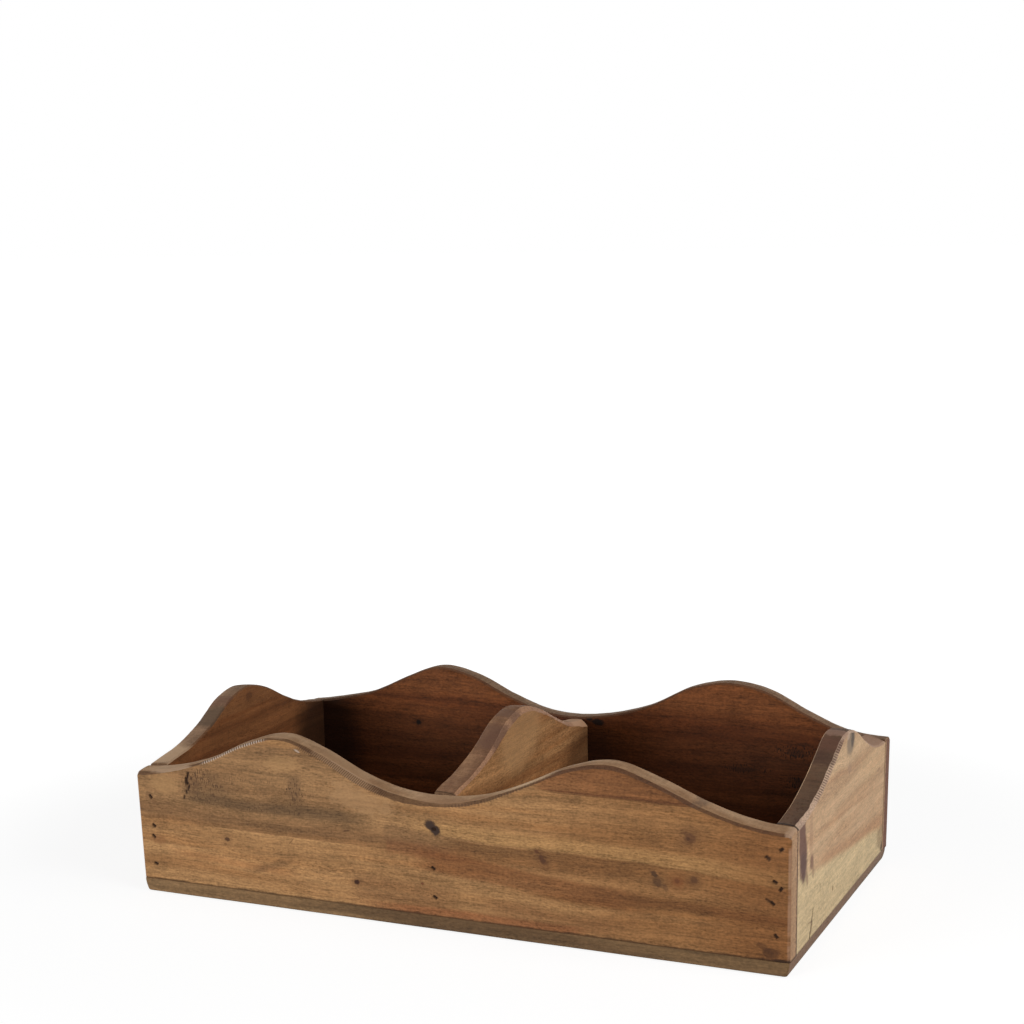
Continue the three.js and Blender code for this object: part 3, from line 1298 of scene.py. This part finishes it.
@dataclass
class Brads:
    """The set brads, which keep their solid shapes."""

    prefix: str = "brad_"
    iron: Iron = Iron()

    def dress(self) -> list[str]:
        """Gives every brad its finish.

        Returns:
            The brads' names.
        """
        finish = self.iron.dress()
        names = [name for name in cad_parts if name.startswith(self.prefix)]
        for name in names:
            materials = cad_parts[name].data.materials
            materials.clear()
            materials.append(finish)
        return names


FRONT_WOOD = Wood(
    name="golden_front_wood",
    light=(162, 122, 80),
    dark=(138, 100, 63),
    warm=(152, 106, 64),
    rim=(190, 155, 121),
    rim_dark=(152, 117, 86),
    arris=(76, 54, 41),
    seed=1.0,
    bands=(
        Band((30, 50), (330, 50), 120, (130, 88, 51), 0.66, fade_in=100, fade_out=1),
        Band((-330, 77), (20, 71), 25, (127, 96, 65), 0.62, below=1.2, above=4, fade_in=1, fade_out=105),
        Band((-330, 54.6), (10, 47), 4.4, (110, 78, 50), 0.6, below=0.9, above=7, fade_in=1),
        Band((-172, 63.5), (-30, 58.5), 3.2, (92, 70, 48), 0.68, below=4, above=4, fade_in=12, fade_out=40),
        Band((-38, 53.5), (30, 52), 5.0, (112, 82, 55), 0.5, below=4, above=3, fade_in=3, fade_out=30),
        Band((-37, 45.5), (30, 45), 3.6, (112, 70, 44), 0.5, below=3, above=4, fade_in=3, fade_out=30),
        Band((-5, 49.5), (140, 47), 5.0, (108, 72, 42), 0.66, below=7, above=1.4, fade_in=18, fade_out=45),
        Band((-30, 42), (130, 30.5), 5.6, (112, 68, 38), 0.7, below=4, above=4, fade_in=30, fade_out=35),
        Band((92, 33.2), (330, 27), 2.6, (96, 60, 34), 0.66, below=3, above=3, fade_in=25, fade_out=1),
        Band((-30, 61), (330, 50), 3.9, (166, 126, 80), 0.66, below=1.4, above=5, fade_in=35, fade_out=1),
        Band((-60, 27), (112, 21), 4.2, (160, 120, 78), 0.45, fade_in=40, fade_out=45),
        Band((-70, 11), (92, 11), 2.6, (128, 75, 45), 0.7, fade_in=50, fade_out=18),
        Band((52, 99), (156, 97), 10, (116, 72, 42), 0.72, below=1.0, fade_in=10, fade_out=12),
        Band((56, 88.8), (154, 87), 1.0, (88, 52, 31), 0.62, below=1.0, above=1.2, fade_in=15, fade_out=12),
        Band((-62, 21), (14, 19), 7, (114, 78, 50), 0.45, below=6, above=6, fade_in=12, fade_out=20),
        Band((15, 18), (120, 14), 5, (114, 76, 47), 0.5, below=5, above=5, fade_in=25, fade_out=30),
        Band((-186, 27), (-86, 22), 2.2, (142, 96, 58), 0.5, fade_in=20, fade_out=20),
        Band((-128, 20.5), (-95, 30), 2.1, (112, 82, 54), 0.6, fade_in=8, fade_out=8),
        Band((140, 46), (330, 46), 120, (112, 69, 37), 0.54, fade_in=50, fade_out=1),
    ),
    marks=(
        Mark(60.6, 49, 1.9, 1.9, (76, 48, 33), 0.8, turn=-1.0, halo=0.4, bend=0.4, ragged=0.7),
        Mark(57.2, 53.2, 1.3, 1.3, (84, 52, 35), 0.7, turn=-0.6, ragged=0.6),
        Mark(145, 71, 3.2, 1.2, (88, 58, 39), 0.7, halo=0.5, bend=0.5, ragged=1.0),
        Mark(144.2, 70, 1.2, 1.1, (66, 42, 30), 0.6, ragged=0.8),
        Mark(127, 44, 2.6, 1.2, (78, 54, 37), 0.68, turn=-0.8, halo=0.4, bend=0.4, ragged=0.8),
        Mark(125.2, 48.4, 1.7, 1.7, (58, 42, 32), 0.75, turn=-0.6, ragged=0.7),
        Mark(131.5, 41.5, 1.6, 1.6, (92, 64, 44), 0.6, turn=-0.9, ragged=0.7),
        Mark(138.5, 45.5, 3.0, 1.2, (120, 74, 43), 0.7, halo=0.5, bend=0.5),
        Mark(138.0, 45.8, 1.4, 1.2, (92, 56, 35), 0.7, ragged=0.6),
        Mark(147.5, 47.5, 2.3, 1.1, (80, 53, 36), 0.68, halo=0.45, bend=0.4, ragged=0.6),
        Mark(-97, 42, 0.35, 9.0, (92, 64, 41), 0.6, turn=0.85, ragged=0.2),
        Mark(-140.3, 38.4, 1.5, 1.3, (62, 38, 27), 0.8, halo=0.35, bend=0.3),
        Mark(-141.8, 35.2, 1.0, 1.2, (86, 56, 36), 0.6),
        Mark(-55, 22.3, 1.6, 1.4, (48, 25, 18), 0.95, halo=0.4, bend=0.4),
        Mark(-57.5, 29, 1.2, 0.8, (98, 66, 42), 0.5),
        Mark(-13, 26.4, 0.9, 1.5, (90, 48, 32), 0.75),
        Mark(-7.2, 61.3, 3.6, 1.25, (60, 44, 36), 1.0, turn=-0.3, ragged=0.5),
        Mark(-4.4, 58.9, 3.0, 1.6, (56, 41, 34), 1.0, turn=-0.9, ragged=0.5),
        Mark(-60.5, 52.2, 0.55, 5.0, (76, 52, 34), 0.75, turn=0.25),
        Mark(-194, 59.5, 3.0, 1.1, (108, 78, 52), 0.5),
        Mark(-190, 56.5, 2.4, 1.0, (110, 78, 52), 0.45),
        Mark(-188, 33, 3.4, 1.6, (120, 80, 50), 0.55),
        Mark(190, 12, 4.2, 1.4, (70, 44, 28), 0.68, ragged=0.8),
        Mark(186, 15, 2.0, 3.2, (64, 40, 26), 0.5, turn=-0.5, ragged=0.9),
        Mark(196, 8.8, 1.4, 4.5, (34, 21, 15), 0.8),
        Mark(-150, 70, 9.0, 2.0, (96, 72, 50), 0.35, ragged=0.9),
        Mark(-163, 70, 8.0, 0.7, (78, 55, 39), 0.4, ragged=0.9),
        Mark(-48, 70, 8.0, 3.2, (172, 134, 94), 0.45, turn=-0.25, ragged=1.3),
        Mark(-93, 74, 10.0, 0.6, (96, 71, 49), 0.45, ragged=0.9),
        Mark(-101, 88, 5.0, 2.6, (168, 130, 87), 0.45, ragged=0.8),
        Mark(-183, 68, 6.0, 2.0, (168, 130, 86), 0.4, ragged=0.7),
        Mark(-91, 96.5, 0.6, 4.0, (200, 184, 170), 0.5, turn=-0.45, ragged=0.9),
        Mark(199, 78, 3.2, 1.0, (204, 172, 144), 0.4, ragged=0.9, on_rim=True),
        Mark(-182, 71.4, 2.0, 9.0, (104, 84, 72), 0.6, ragged=0.4, on_rim=True),
        Mark(-176, 77.4, 2.8, 8.0, (214, 182, 150), 0.4, turn=0.1, ragged=0.3, on_rim=True),
        Mark(48, 90.3, 1.9, 13.0, (224, 192, 156), 0.6, turn=0.41, ragged=0.25, on_rim=True),
        Mark(-104, 103.6, 1.6, 7.0, (206, 172, 140), 0.22, ragged=0.3, on_rim=True),
        Mark(-2, 76.0, 3.0, 6.0, (150, 116, 88), 0.45, ragged=0.5, on_rim=True),
        Mark(-62, 87.2, 3.2, 8.0, (178, 142, 108), 0.5, turn=-0.46, ragged=0.4, on_rim=True),
        Mark(151, 90, 3.0, 2.2, (100, 80, 66), 0.55, ragged=0.9, on_rim=True),
    ),
    patches=(
        Patch(-156, 69, 19, 14, 0.88),
        Patch(-94, 69, 9, 17, 0.9),
        Patch(-122, 68, 62, 17, 0.55),
        Patch(-70, 52, 30, 10, 0.4),
        Patch(-30, 24, 50, 14, 0.45),
    ),
    hatches=(
        Hatch(-158, -110, -0.05, 1.6, 1.9, 0.5, (206, 190, 176), 0.66),
        Hatch(-94, -32, 0.1, 3.4, 1.5, -0.65, (70, 47, 33), 0.62),
        Hatch(0, 58, 0.4, 2.4, 2.3, 0.7, (66, 50, 42), 0.35),
    ),
    saw_lines=0.1,
    foot_dirt=0.75,
    end_tint=(186, 148, 114),
    corner_wear=0.4,
    end_seam=0.8,
    contrast=1.3,
)

BACK_WOOD = Wood(
    name="red_brown_back_wood",
    light=(110, 62, 32),
    dark=(77, 39, 18),
    warm=(96, 50, 24),
    rim=(160, 130, 104),
    rim_dark=(124, 97, 75),
    arris=(86, 59, 42),
    seed=21.0,
    bands=(
        Band((-330, 97), (330, 99), 13, (122, 73, 40), 0.7, below=8),
        Band((-330, 82), (330, 80), 1.6, (70, 38, 20), 0.35),
        Band((-330, 66), (330, 60), 4, (70, 38, 20), 0.35, below=5, above=5),
        Band((100, 58), (330, 52), 3.0, (50, 27, 15), 0.55),
        # darker low on the inner face: partly the wood's own tone, partly painted shade inside the box
        Band((-330, 44), (330, 40), 20, (64, 33, 16), 0.5, above=14),
    ),
    marks=(
        Mark(-115, 63, 1.9, 1.2, (20, 12, 9), 0.98, halo=0.35),
        Mark(14, 74, 2.8, 1.6, (20, 13, 11), 0.95, ragged=0.8),
        Mark(8.2, 75.6, 1.8, 1.3, (22, 14, 11), 0.95, ragged=0.8),
        Mark(146, 65, 2.6, 3.6, (34, 19, 12), 0.6, ragged=1.2),
        Mark(150, 71, 1.4, 4.0, (38, 21, 13), 0.5, ragged=1.2),
        Mark(112, 52, 1.6, 8.0, (34, 19, 12), 0.6, ragged=1.2),
        Mark(150, 46, 3.2, 2.2, (34, 19, 12), 0.6, ragged=1.2),
        Mark(154, 34, 3.6, 2.0, (30, 17, 11), 0.6, ragged=1.2),
        # painted shade: the dark fall-off into the corner beside the left end
        Mark(-192, 42, 62, 0.62, (24, 12, 6), 0.8, ragged=0.12),
        # painted shade: the divider's shadow on the back board's inner face
        Mark(4, 36, 44, 0.8, (26, 13, 8), 0.6, ragged=0.12),
    ),
    patches=(
        Patch(147, 66, 20, 7, 1.0),
        Patch(112, 52, 24, 4, 0.9),
        Patch(150, 45, 16, 8, 1.0),
        Patch(152, 33, 16, 7, 0.9),
    ),
    tick=(22, 12, 8),
    foot_dirt=0.5,
    worn_and_lit_line=0.25,
    end_tint=(118, 80, 62),
    end_pale=2.2,
    corner_wear=0.3,
    contrast=1.4,
)

LEFT_WOOD = Wood(
    name="mid_brown_end_wood",
    light=(144, 94, 57),
    dark=(114, 72, 42),
    warm=(132, 78, 43),
    rim=(152, 123, 98),
    rim_dark=(128, 102, 80),
    arris=(112, 80, 56),
    seed=41.0,
    bands=(
        Band((-330, 84), (330, 82), 2.2, (104, 62, 36), 0.5),
        Band((-330, 68), (330, 66), 4, (98, 58, 33), 0.5),
        Band((-330, 95), (330, 97), 6, (150, 102, 64), 0.5),
    ),
    marks=(
        Mark(0, 97, 3.0, 1.4, (88, 54, 34), 0.5, halo=0.3),
        Mark(-38, 90, 9.0, 1.5, (84, 68, 54), 0.75, turn=0.8, ragged=0.6, on_rim=True),
        Mark(-22, 97, 5.0, 1.5, (104, 74, 60), 0.6, ragged=0.6, on_rim=True),
        # painted light: the rim's near end painted paler, as if lit
        Mark(-84, 78, 7.0, 3.2, (206, 172, 138), 0.75, ragged=0.3, on_rim=True),
        # painted shade: the inner face darkening into the back corner
        Mark(96, 40, 58, 0.9, (30, 15, 8), 0.85, ragged=0.12),
    ),
    foot_dirt=0.5,
    end_dirt=0.5,
    worn_and_lit_line=0.2,
)

RIGHT_WOOD = Wood(
    name="pale_sapwood_end_wood",
    light=(208, 174, 137),
    dark=(192, 156, 121),
    warm=(198, 157, 120),
    rim=(78, 51, 37),
    rim_dark=(60, 39, 29),
    arris=(200, 170, 148),
    seed=61.0,
    bands=(
        Band((-75, 48), (330, -6), 5.0, (180, 134, 98), 0.55, below=3, above=9, fade_in=40, fade_out=1),
        Band((-330, 56.7), (330, -36.4), 26, (214, 190, 148), 0.9, below=4, above=5, fade_in=1, fade_out=1),
        Band((-60, 64), (95, 54), 1.2, (170, 128, 96), 0.35, below=1, above=3),
        Band((-50, 87), (60, 80), 1.4, (176, 134, 104), 0.3, below=1, above=3),
        Band((20, 74), (330, 62), 8.0, (214, 178, 136), 0.3, fade_in=30, fade_out=1),
    ),
    marks=(
        Mark(-85, 64, 23, 0.37, (102, 70, 61), 0.92, turn=0.16, ragged=0.4),
        Mark(-83, 54, 9.0, 0.85, (92, 66, 60), 0.75, turn=0.5, ragged=0.6),
        Mark(-76, 45, 5.0, 0.5, (140, 106, 84), 0.6, turn=0.3, ragged=0.6),
        Mark(-69, 66, 18, 0.24, (160, 122, 100), 0.35, turn=0.05, ragged=0.7),
        Mark(-67, 51, 4.6, 0.9, (120, 88, 74), 0.75, ragged=0.7),
        Mark(-64, 45, 5.0, 0.5, (150, 116, 92), 0.5, ragged=0.7),
        Mark(10.5, 98, 8.6, 1.1, (134, 116, 98), 0.85, ragged=0.2, bend=0.3),
        Mark(15, 99.5, 5.8, 0.75, (72, 63, 58), 0.75, ragged=0.45),
        Mark(6, 103, 2.4, 1.6, (196, 168, 146), 0.7, ragged=0.5),
        Mark(10, 83, 4.0, 1.2, (160, 130, 108), 0.5, ragged=0.7),
        Mark(-22, 22, 2.0, 0.9, (140, 110, 78), 0.75, ragged=0.6),
        Mark(-68, 17.5, 0.6, 9.0, (126, 96, 70), 0.6, turn=-0.2, ragged=0.5),
        Mark(-66, 15, 6.0, 0.35, (110, 86, 66), 0.5, turn=-0.25, ragged=0.6),
        Mark(97, 12, 5.0, 1.4, (74, 57, 44), 0.85, ragged=1.1),
        Mark(90, 20, 9.0, 1.1, (140, 112, 82), 0.5, ragged=0.9),
        Mark(97, 48, 2.4, 0.9, (92, 70, 54), 0.7, ragged=0.9),
        Mark(97, 30, 4.0, 0.4, (86, 66, 50), 0.7, ragged=0.9),
        Mark(80, 64, 1.4, 3.0, (150, 118, 92), 0.6, ragged=0.8),
        Mark(-12, 103, 6.0, 1.5, (98, 66, 54), 0.6, ragged=0.8, on_rim=True),
        Mark(2, 105, 3.4, 1.6, (160, 126, 108), 0.6, ragged=0.9, on_rim=True),
        Mark(-95, 79.5, 5.0, 0.55, (38, 25, 19), 0.95, ragged=0.4, on_rim=True),
        Mark(-24, 100, 7.0, 1.3, (70, 48, 40), 0.6, ragged=0.6, on_rim=True),
        Mark(72, 80, 9.0, 3.6, (170, 134, 110), 0.85, ragged=0.3, on_rim=True),
    ),
    patches=(
        Patch(-40, 24, 60, 20, 0.55),
        Patch(50, 62, 60, 26, 0.4),
        Patch(88, 18, 14, 10, 0.9),
        Patch(97, 40, 5, 22, 0.8),
    ),
    hatches=(Hatch(-62, -4, -0.05, 2.0, 2.7, 0.9, (66, 45, 36), 0.62),),
    saw_lines=0.4,
    foot_dirt=0.5,
    end_dirt=0.1,
    tick=(120, 92, 68),
    contrast=0.75,
)

DIVIDER_WOOD = Wood(
    name="warm_tan_divider_wood",
    light=(184, 136, 90),
    dark=(154, 108, 68),
    warm=(172, 114, 68),
    rim=(152, 116, 88),
    rim_dark=(112, 80, 61),
    arris=(172, 130, 104),
    seed=81.0,
    bands=(
        Band((-330, 66), (330, 63), 2.4, (128, 82, 48), 0.6),
        Band((-330, 77), (330, 74), 2.0, (196, 146, 98), 0.5),
        Band((-330, 50), (330, 46), 5.0, (140, 94, 58), 0.5),
    ),
    marks=(
        Mark(-34, 92, 9.0, 1.5, (98, 70, 57), 0.7, turn=0.8, ragged=0.6, on_rim=True),
        Mark(-12, 101, 6.0, 1.3, (108, 80, 66), 0.6, turn=0.5, ragged=0.6, on_rim=True),
        Mark(86, 76, 10.0, 1.8, (196, 154, 120), 0.75, ragged=0.3, on_rim=True),
        Mark(-95.2, 77, 4.5, 0.22, (42, 27, 20), 0.85, ragged=0.3, on_rim=True),
        # painted shade: the divider's face darkening into the back corner
        Mark(98, 32, 54, 1.1, (64, 37, 21), 0.7, turn=0.2, ragged=0.12),
        Mark(-8, 90, 24, 1.4, (208, 162, 114), 0.5, turn=0.2, ragged=0.2),
    ),
    foot_dirt=0.5,
    end_dirt=0.4,
    worn_and_lit_line=0.3,
    contrast=1.3,
)

BASE_WOOD = Wood(
    name="grey_olive_base_wood",
    light=(122, 95, 65),
    dark=(91, 70, 48),
    warm=(116, 86, 57),
    rim=(110, 90, 70),
    rim_dark=(110, 90, 70),
    arris=(110, 90, 70),
    seed=101.0,
    bands=(
        Band((-330, 0), (-20, 0), 300, (138, 108, 74), 0.5, fade_in=1, fade_out=150),
        Band((-70, 0), (140, 0), 300, (88, 66, 45), 0.55, fade_in=60, fade_out=90),
    ),
    grain_height=3.0,
    depth_size=0.22,
    saw_lines=0.0,
    foot_dirt=0.0,
    end_tint=(132, 102, 80),
)

BOARDS = (
    Board(
        node="front_board",
        slot="front_wood",
        wood=FRONT_WOOD,
        lie=Lie.LENGTHWISE,
        outer=-1,
        rim=(
            *(0.01, 0.12, 0.38, 0.79, 1.01, 0.74, 0.32, 0.08, 0.04),
            *(0.18, 0.53, 0.93, 1.08, 0.83, 0.49, 0.24, 0.14),
        ),
        half_rim=200,
        tip=(0.9, 0.0, 0.3, 1.0, 1.9, -0.9, 0.5, 1.0, 0.9),
        arris_out=(1.8, 1.0, 1.3, 3.3, 2.0, 2.0, 2.2, 1.7, 1.6),
        end_round=(1.6, 2.4),
        shift_low=(0.3, 0),
        shift_high=(-2.0, 0.4),
        seed=11,
        brads="brad_front_",
        scars=(
            Pit(187.6, 64.3, 2.8, 1.5, -0.7, 0.6, 0.85),
            Pit(-165.6, 75.0, 4.0, 0.9, 1.35, 0.7, 0.95),
            Pit(-166.6, 71.2, 4.2, 1.3, 1.75, 0.9, 0.95),
            Pit(-165.2, 67.4, 3.2, 0.7, 1.2, 0.6, 0.9),
            Pit(-167.0, 64.6, 2.2, 0.9, 1.7, 0.5, 0.85),
            Pit(-168.6, 61.4, 2.2, 0.8, 1.3, 0.5, 0.85),
            Pit(188.2, 41.2, 3.6, 0.8, -0.5, 0.5, 0.8),
        ),
    ),
    Board(
        node="back_board",
        slot="back_wood",
        wood=BACK_WOOD,
        lie=Lie.LENGTHWISE,
        outer=1,
        rim=(
            *(-0.1, 0.03, 0.24, 0.64, 0.95, 0.81, 0.42, 0.13, 0.07),
            *(0.2, 0.48, 0.92, 1.1, 0.96, 0.55, 0.22, 0.14),
        ),
        half_rim=200,
        shows_outside=False,
        arris_out=(1.2,),
        arris_in=1.2,
        end_round=(2.4, 1.2),
        shift_low=(0, 0.15),
        shift_high=(0, 1.2),
        seed=23,
        brads="brad_back_",
    ),
    Board(
        node="left_end_board",
        slot="left_wood",
        wood=LEFT_WOOD,
        lie=Lie.CROSSWISE,
        outer=-1,
        rim=(0.05, 0.13, 0.26, 0.52, 0.88, 1.01, 0.82, 0.47, 0.17, 0, -0.09),
        half_rim=107.5,
        shows_outside=False,
        tip=(1.0,),
        arris_out=(1.2,),
        arris_in=0.9,
        end_round=(0.25, 0.25),
        end_gap=0.08,
        seed=37,
    ),
    Board(
        node="right_end_board",
        slot="right_wood",
        wood=RIGHT_WOOD,
        lie=Lie.CROSSWISE,
        outer=1,
        rim=(0.18, 0.18, 0.29, 0.49, 0.79, 1.08, 0.98, 0.66, 0.36, 0.23, 0.16),
        half_rim=107.5,
        tip=(0.4, 0.4, 0.4, 0.4, 0.4, 0.4, 2.4, 4.0, 2.6),
        arris_out=(2.4, 2.4, 2.1, 2.0, 1.6, 1.3, 1.2, 1.1, 1.0),
        end_round=(0.25, 0.1),
        lean_low=(0, 0.15),
        lean_high=(0.2, 1.2),
        seed=43,
        scars=(
            Pit(-64.2, 20.5, 7, 0.5, 1.2, 0.5, 0.8, 0.5),
            Pit(-66.4, 14.5, 6, 0.5, 0.95, 0.5, 0.8, 0.5),
            Pit(-68.6, 10.5, 3.5, 1.3, 1.3, 0.5, 0.75, 0.5),
        ),
    ),
    Board(
        node="divider",
        slot="divider_wood",
        wood=DIVIDER_WOOD,
        lie=Lie.CROSSWISE,
        outer=1,
        rim=(0.0, 0.17, 0.33, 0.59, 0.94, 1.06, 0.88, 0.54, 0.23, 0.06, -0.01),
        half_rim=107.5,
        tip=(0.8, 0.7, -0.2, -0.6, -0.4),
        arris_out=(1.5, 1.8, 3.4, 3.0, 3.8),
        arris_in=1.0,
        arris_bend=1.2,
        end_round=(0.25, 1.6),
        end_gap=0.08,
        skew=3.9,
        lean_low=(-0.9, -0.3),
        lean_high=(-0.9, -0.3),
        seed=59,
    ),
    BaseBoard(node="base_board", slot="base_wood", wood=BASE_WOOD),
)


@dataclass(frozen=True)
class Lamp:
    """A wide soft lamp that faces the box, in metres and watts."""

    name: str
    place: tuple[float, float, float]
    size: Pair
    power: float
    target: tuple[float, float, float] = (0, 0, 0.05)

    def hang(self) -> bpy.types.Object:
        """Adds the lamp to the scene.

        Returns:
            The lamp.
        """
        data = bpy.data.lights.new(self.name, "AREA")
        data.shape = "RECTANGLE"
        data.size, data.size_y = self.size
        data.energy = self.power
        made = bpy.data.objects.new(self.name, data)
        made.location = self.place
        aim = Vector(self.target) - Vector(self.place)
        made.rotation_euler = aim.to_track_quat("-Z", "Y").to_euler()
        bpy.context.scene.collection.objects.link(made)
        return made


@dataclass
class Studio:
    """Camera, lamps, floor and surroundings, in metres and degrees."""

    focal_pixels: float = 1965.03
    centre_row: float = 641.5
    heading: float = 24.028
    pitch: float = 11.827
    roll: float = -1.127
    eye: tuple[float, float, float] = (0.46460, -1.04853, 0.38522)
    sensor: float = 36.0  # mm
    clip: Pair = (0.01, 50)
    lamps: tuple[Lamp, ...] = (
        Lamp("key_from_right", (1.5, -0.3, 0.95), (1.2, 0.7), 15),
        Lamp("fill_from_front", (-0.95, -1.75, 0.42), (1.2, 0.6), 27),
    )
    floor_reach: float = 30.0
    floor_level: float = -0.0004
    floor_grey: tuple[float, ...] = (0.8, 0.8, 0.8, 1)
    floor_white: float = 1.2  # strength of the white that the camera sees
    floor_shadow: float = 0.28  # share of the real floor that it sees close to the box
    world_light: float = 0.178
    white: tuple[float, ...] = (1, 1, 1, 1)

    def camera(self) -> bpy.types.Object:
        """Sets up the camera at the photograph's viewing angle.

        Returns:
            The camera.
        """
        data = bpy.data.cameras.new("camera")
        data.sensor_width = self.sensor
        data.lens = self.focal_pixels / IMAGE_SIDE * self.sensor
        data.shift_y = (self.centre_row - IMAGE_SIDE / 2) / IMAGE_SIDE
        data.clip_start, data.clip_end = self.clip
        made = bpy.data.objects.new("camera", data)
        turn = Euler((math.radians(90 - self.pitch), 0, math.radians(self.heading))).to_matrix()
        turn = turn @ Matrix.Rotation(math.radians(self.roll), 3, "Z")
        made.matrix_world = Matrix.Translation(self.eye) @ turn.to_4x4()
        bpy.context.scene.collection.objects.link(made)
        bpy.context.scene.camera = made
        return made

    @staticmethod
    def seen(g: Graph) -> Value:
        """1 for what the camera sees straight, in a gloss or through glass."""
        path = g.node("ShaderNodeLightPath", {}, {}, "Is Camera Ray")
        return path.most(path.output("Is Glossy Ray")).most(path.output("Is Transmission Ray"))

    def floor(self) -> bpy.types.Object:
        """Lays the pale floor, which keeps a soft shadow of the box.

        Returns:
            The floor.
        """
        mesh = bpy.data.meshes.new("floor")
        signs = ((-1, -1), (1, -1), (1, 1), (-1, 1))
        corners = [(x * self.floor_reach, y * self.floor_reach, self.floor_level) for x, y in signs]
        mesh.from_pydata(corners, [], [(0, 1, 2, 3)])
        made = bpy.data.objects.new("floor", mesh)
        bpy.context.scene.collection.objects.link(made)
        g = Graph(bpy.data.materials.new("pale_floor"))
        place = g.node("ShaderNodeTexCoord", {}, {}, "Object")
        far = g.node("ShaderNodeVectorMath", {"operation": "LENGTH"}, {0: place}, "Value")
        whitened = 1 - self.floor_shadow + g.smooth(far, 0.3, 0.75) * self.floor_shadow
        pale = g.node("ShaderNodeBsdfDiffuse", {}, {"Color": self.floor_grey})
        white = g.node("ShaderNodeEmission", {}, {"Color": self.white, "Strength": self.floor_white})
        mixed = g.node("ShaderNodeMixShader", {}, {0: self.seen(g) * whitened, 1: pale, 2: white})
        mesh.materials.append(g.finish(mixed))
        return made

    def surroundings(self) -> bpy.types.World:
        """Sets a dim even world that the camera sees as white.

        Returns:
            The world.
        """
        g = Graph(bpy.data.worlds.new("studio"))
        dim = g.node("ShaderNodeBackground", {}, {"Color": self.white, "Strength": self.world_light})
        white = g.node("ShaderNodeBackground", {}, {"Color": self.white, "Strength": 1.0})
        mixed = g.node("ShaderNodeMixShader", {}, {0: self.seen(g), 1: dim, 2: white})
        bpy.context.scene.world = g.finish(mixed, "ShaderNodeOutputWorld")
        return g.owner


def main() -> None:
    """Builds the studio and the box, piece by piece."""
    bpy.context.scene.view_settings.view_transform = "Standard"
    studio = Studio()
    studio.camera()
    for lamp in studio.lamps:
        lamp.hang()
    studio.floor()
    studio.surroundings()
    for board in BOARDS:
        piece = board.build()
        LOG.info("built %s with %d faces", piece.name, len(piece.data.polygons))
    for name in Brads().dress():
        LOG.info("dressed %s", name)


if __name__ == "__main__":
    logging.basicConfig(level=logging.INFO, format="%(name)s: %(message)s")
    main()
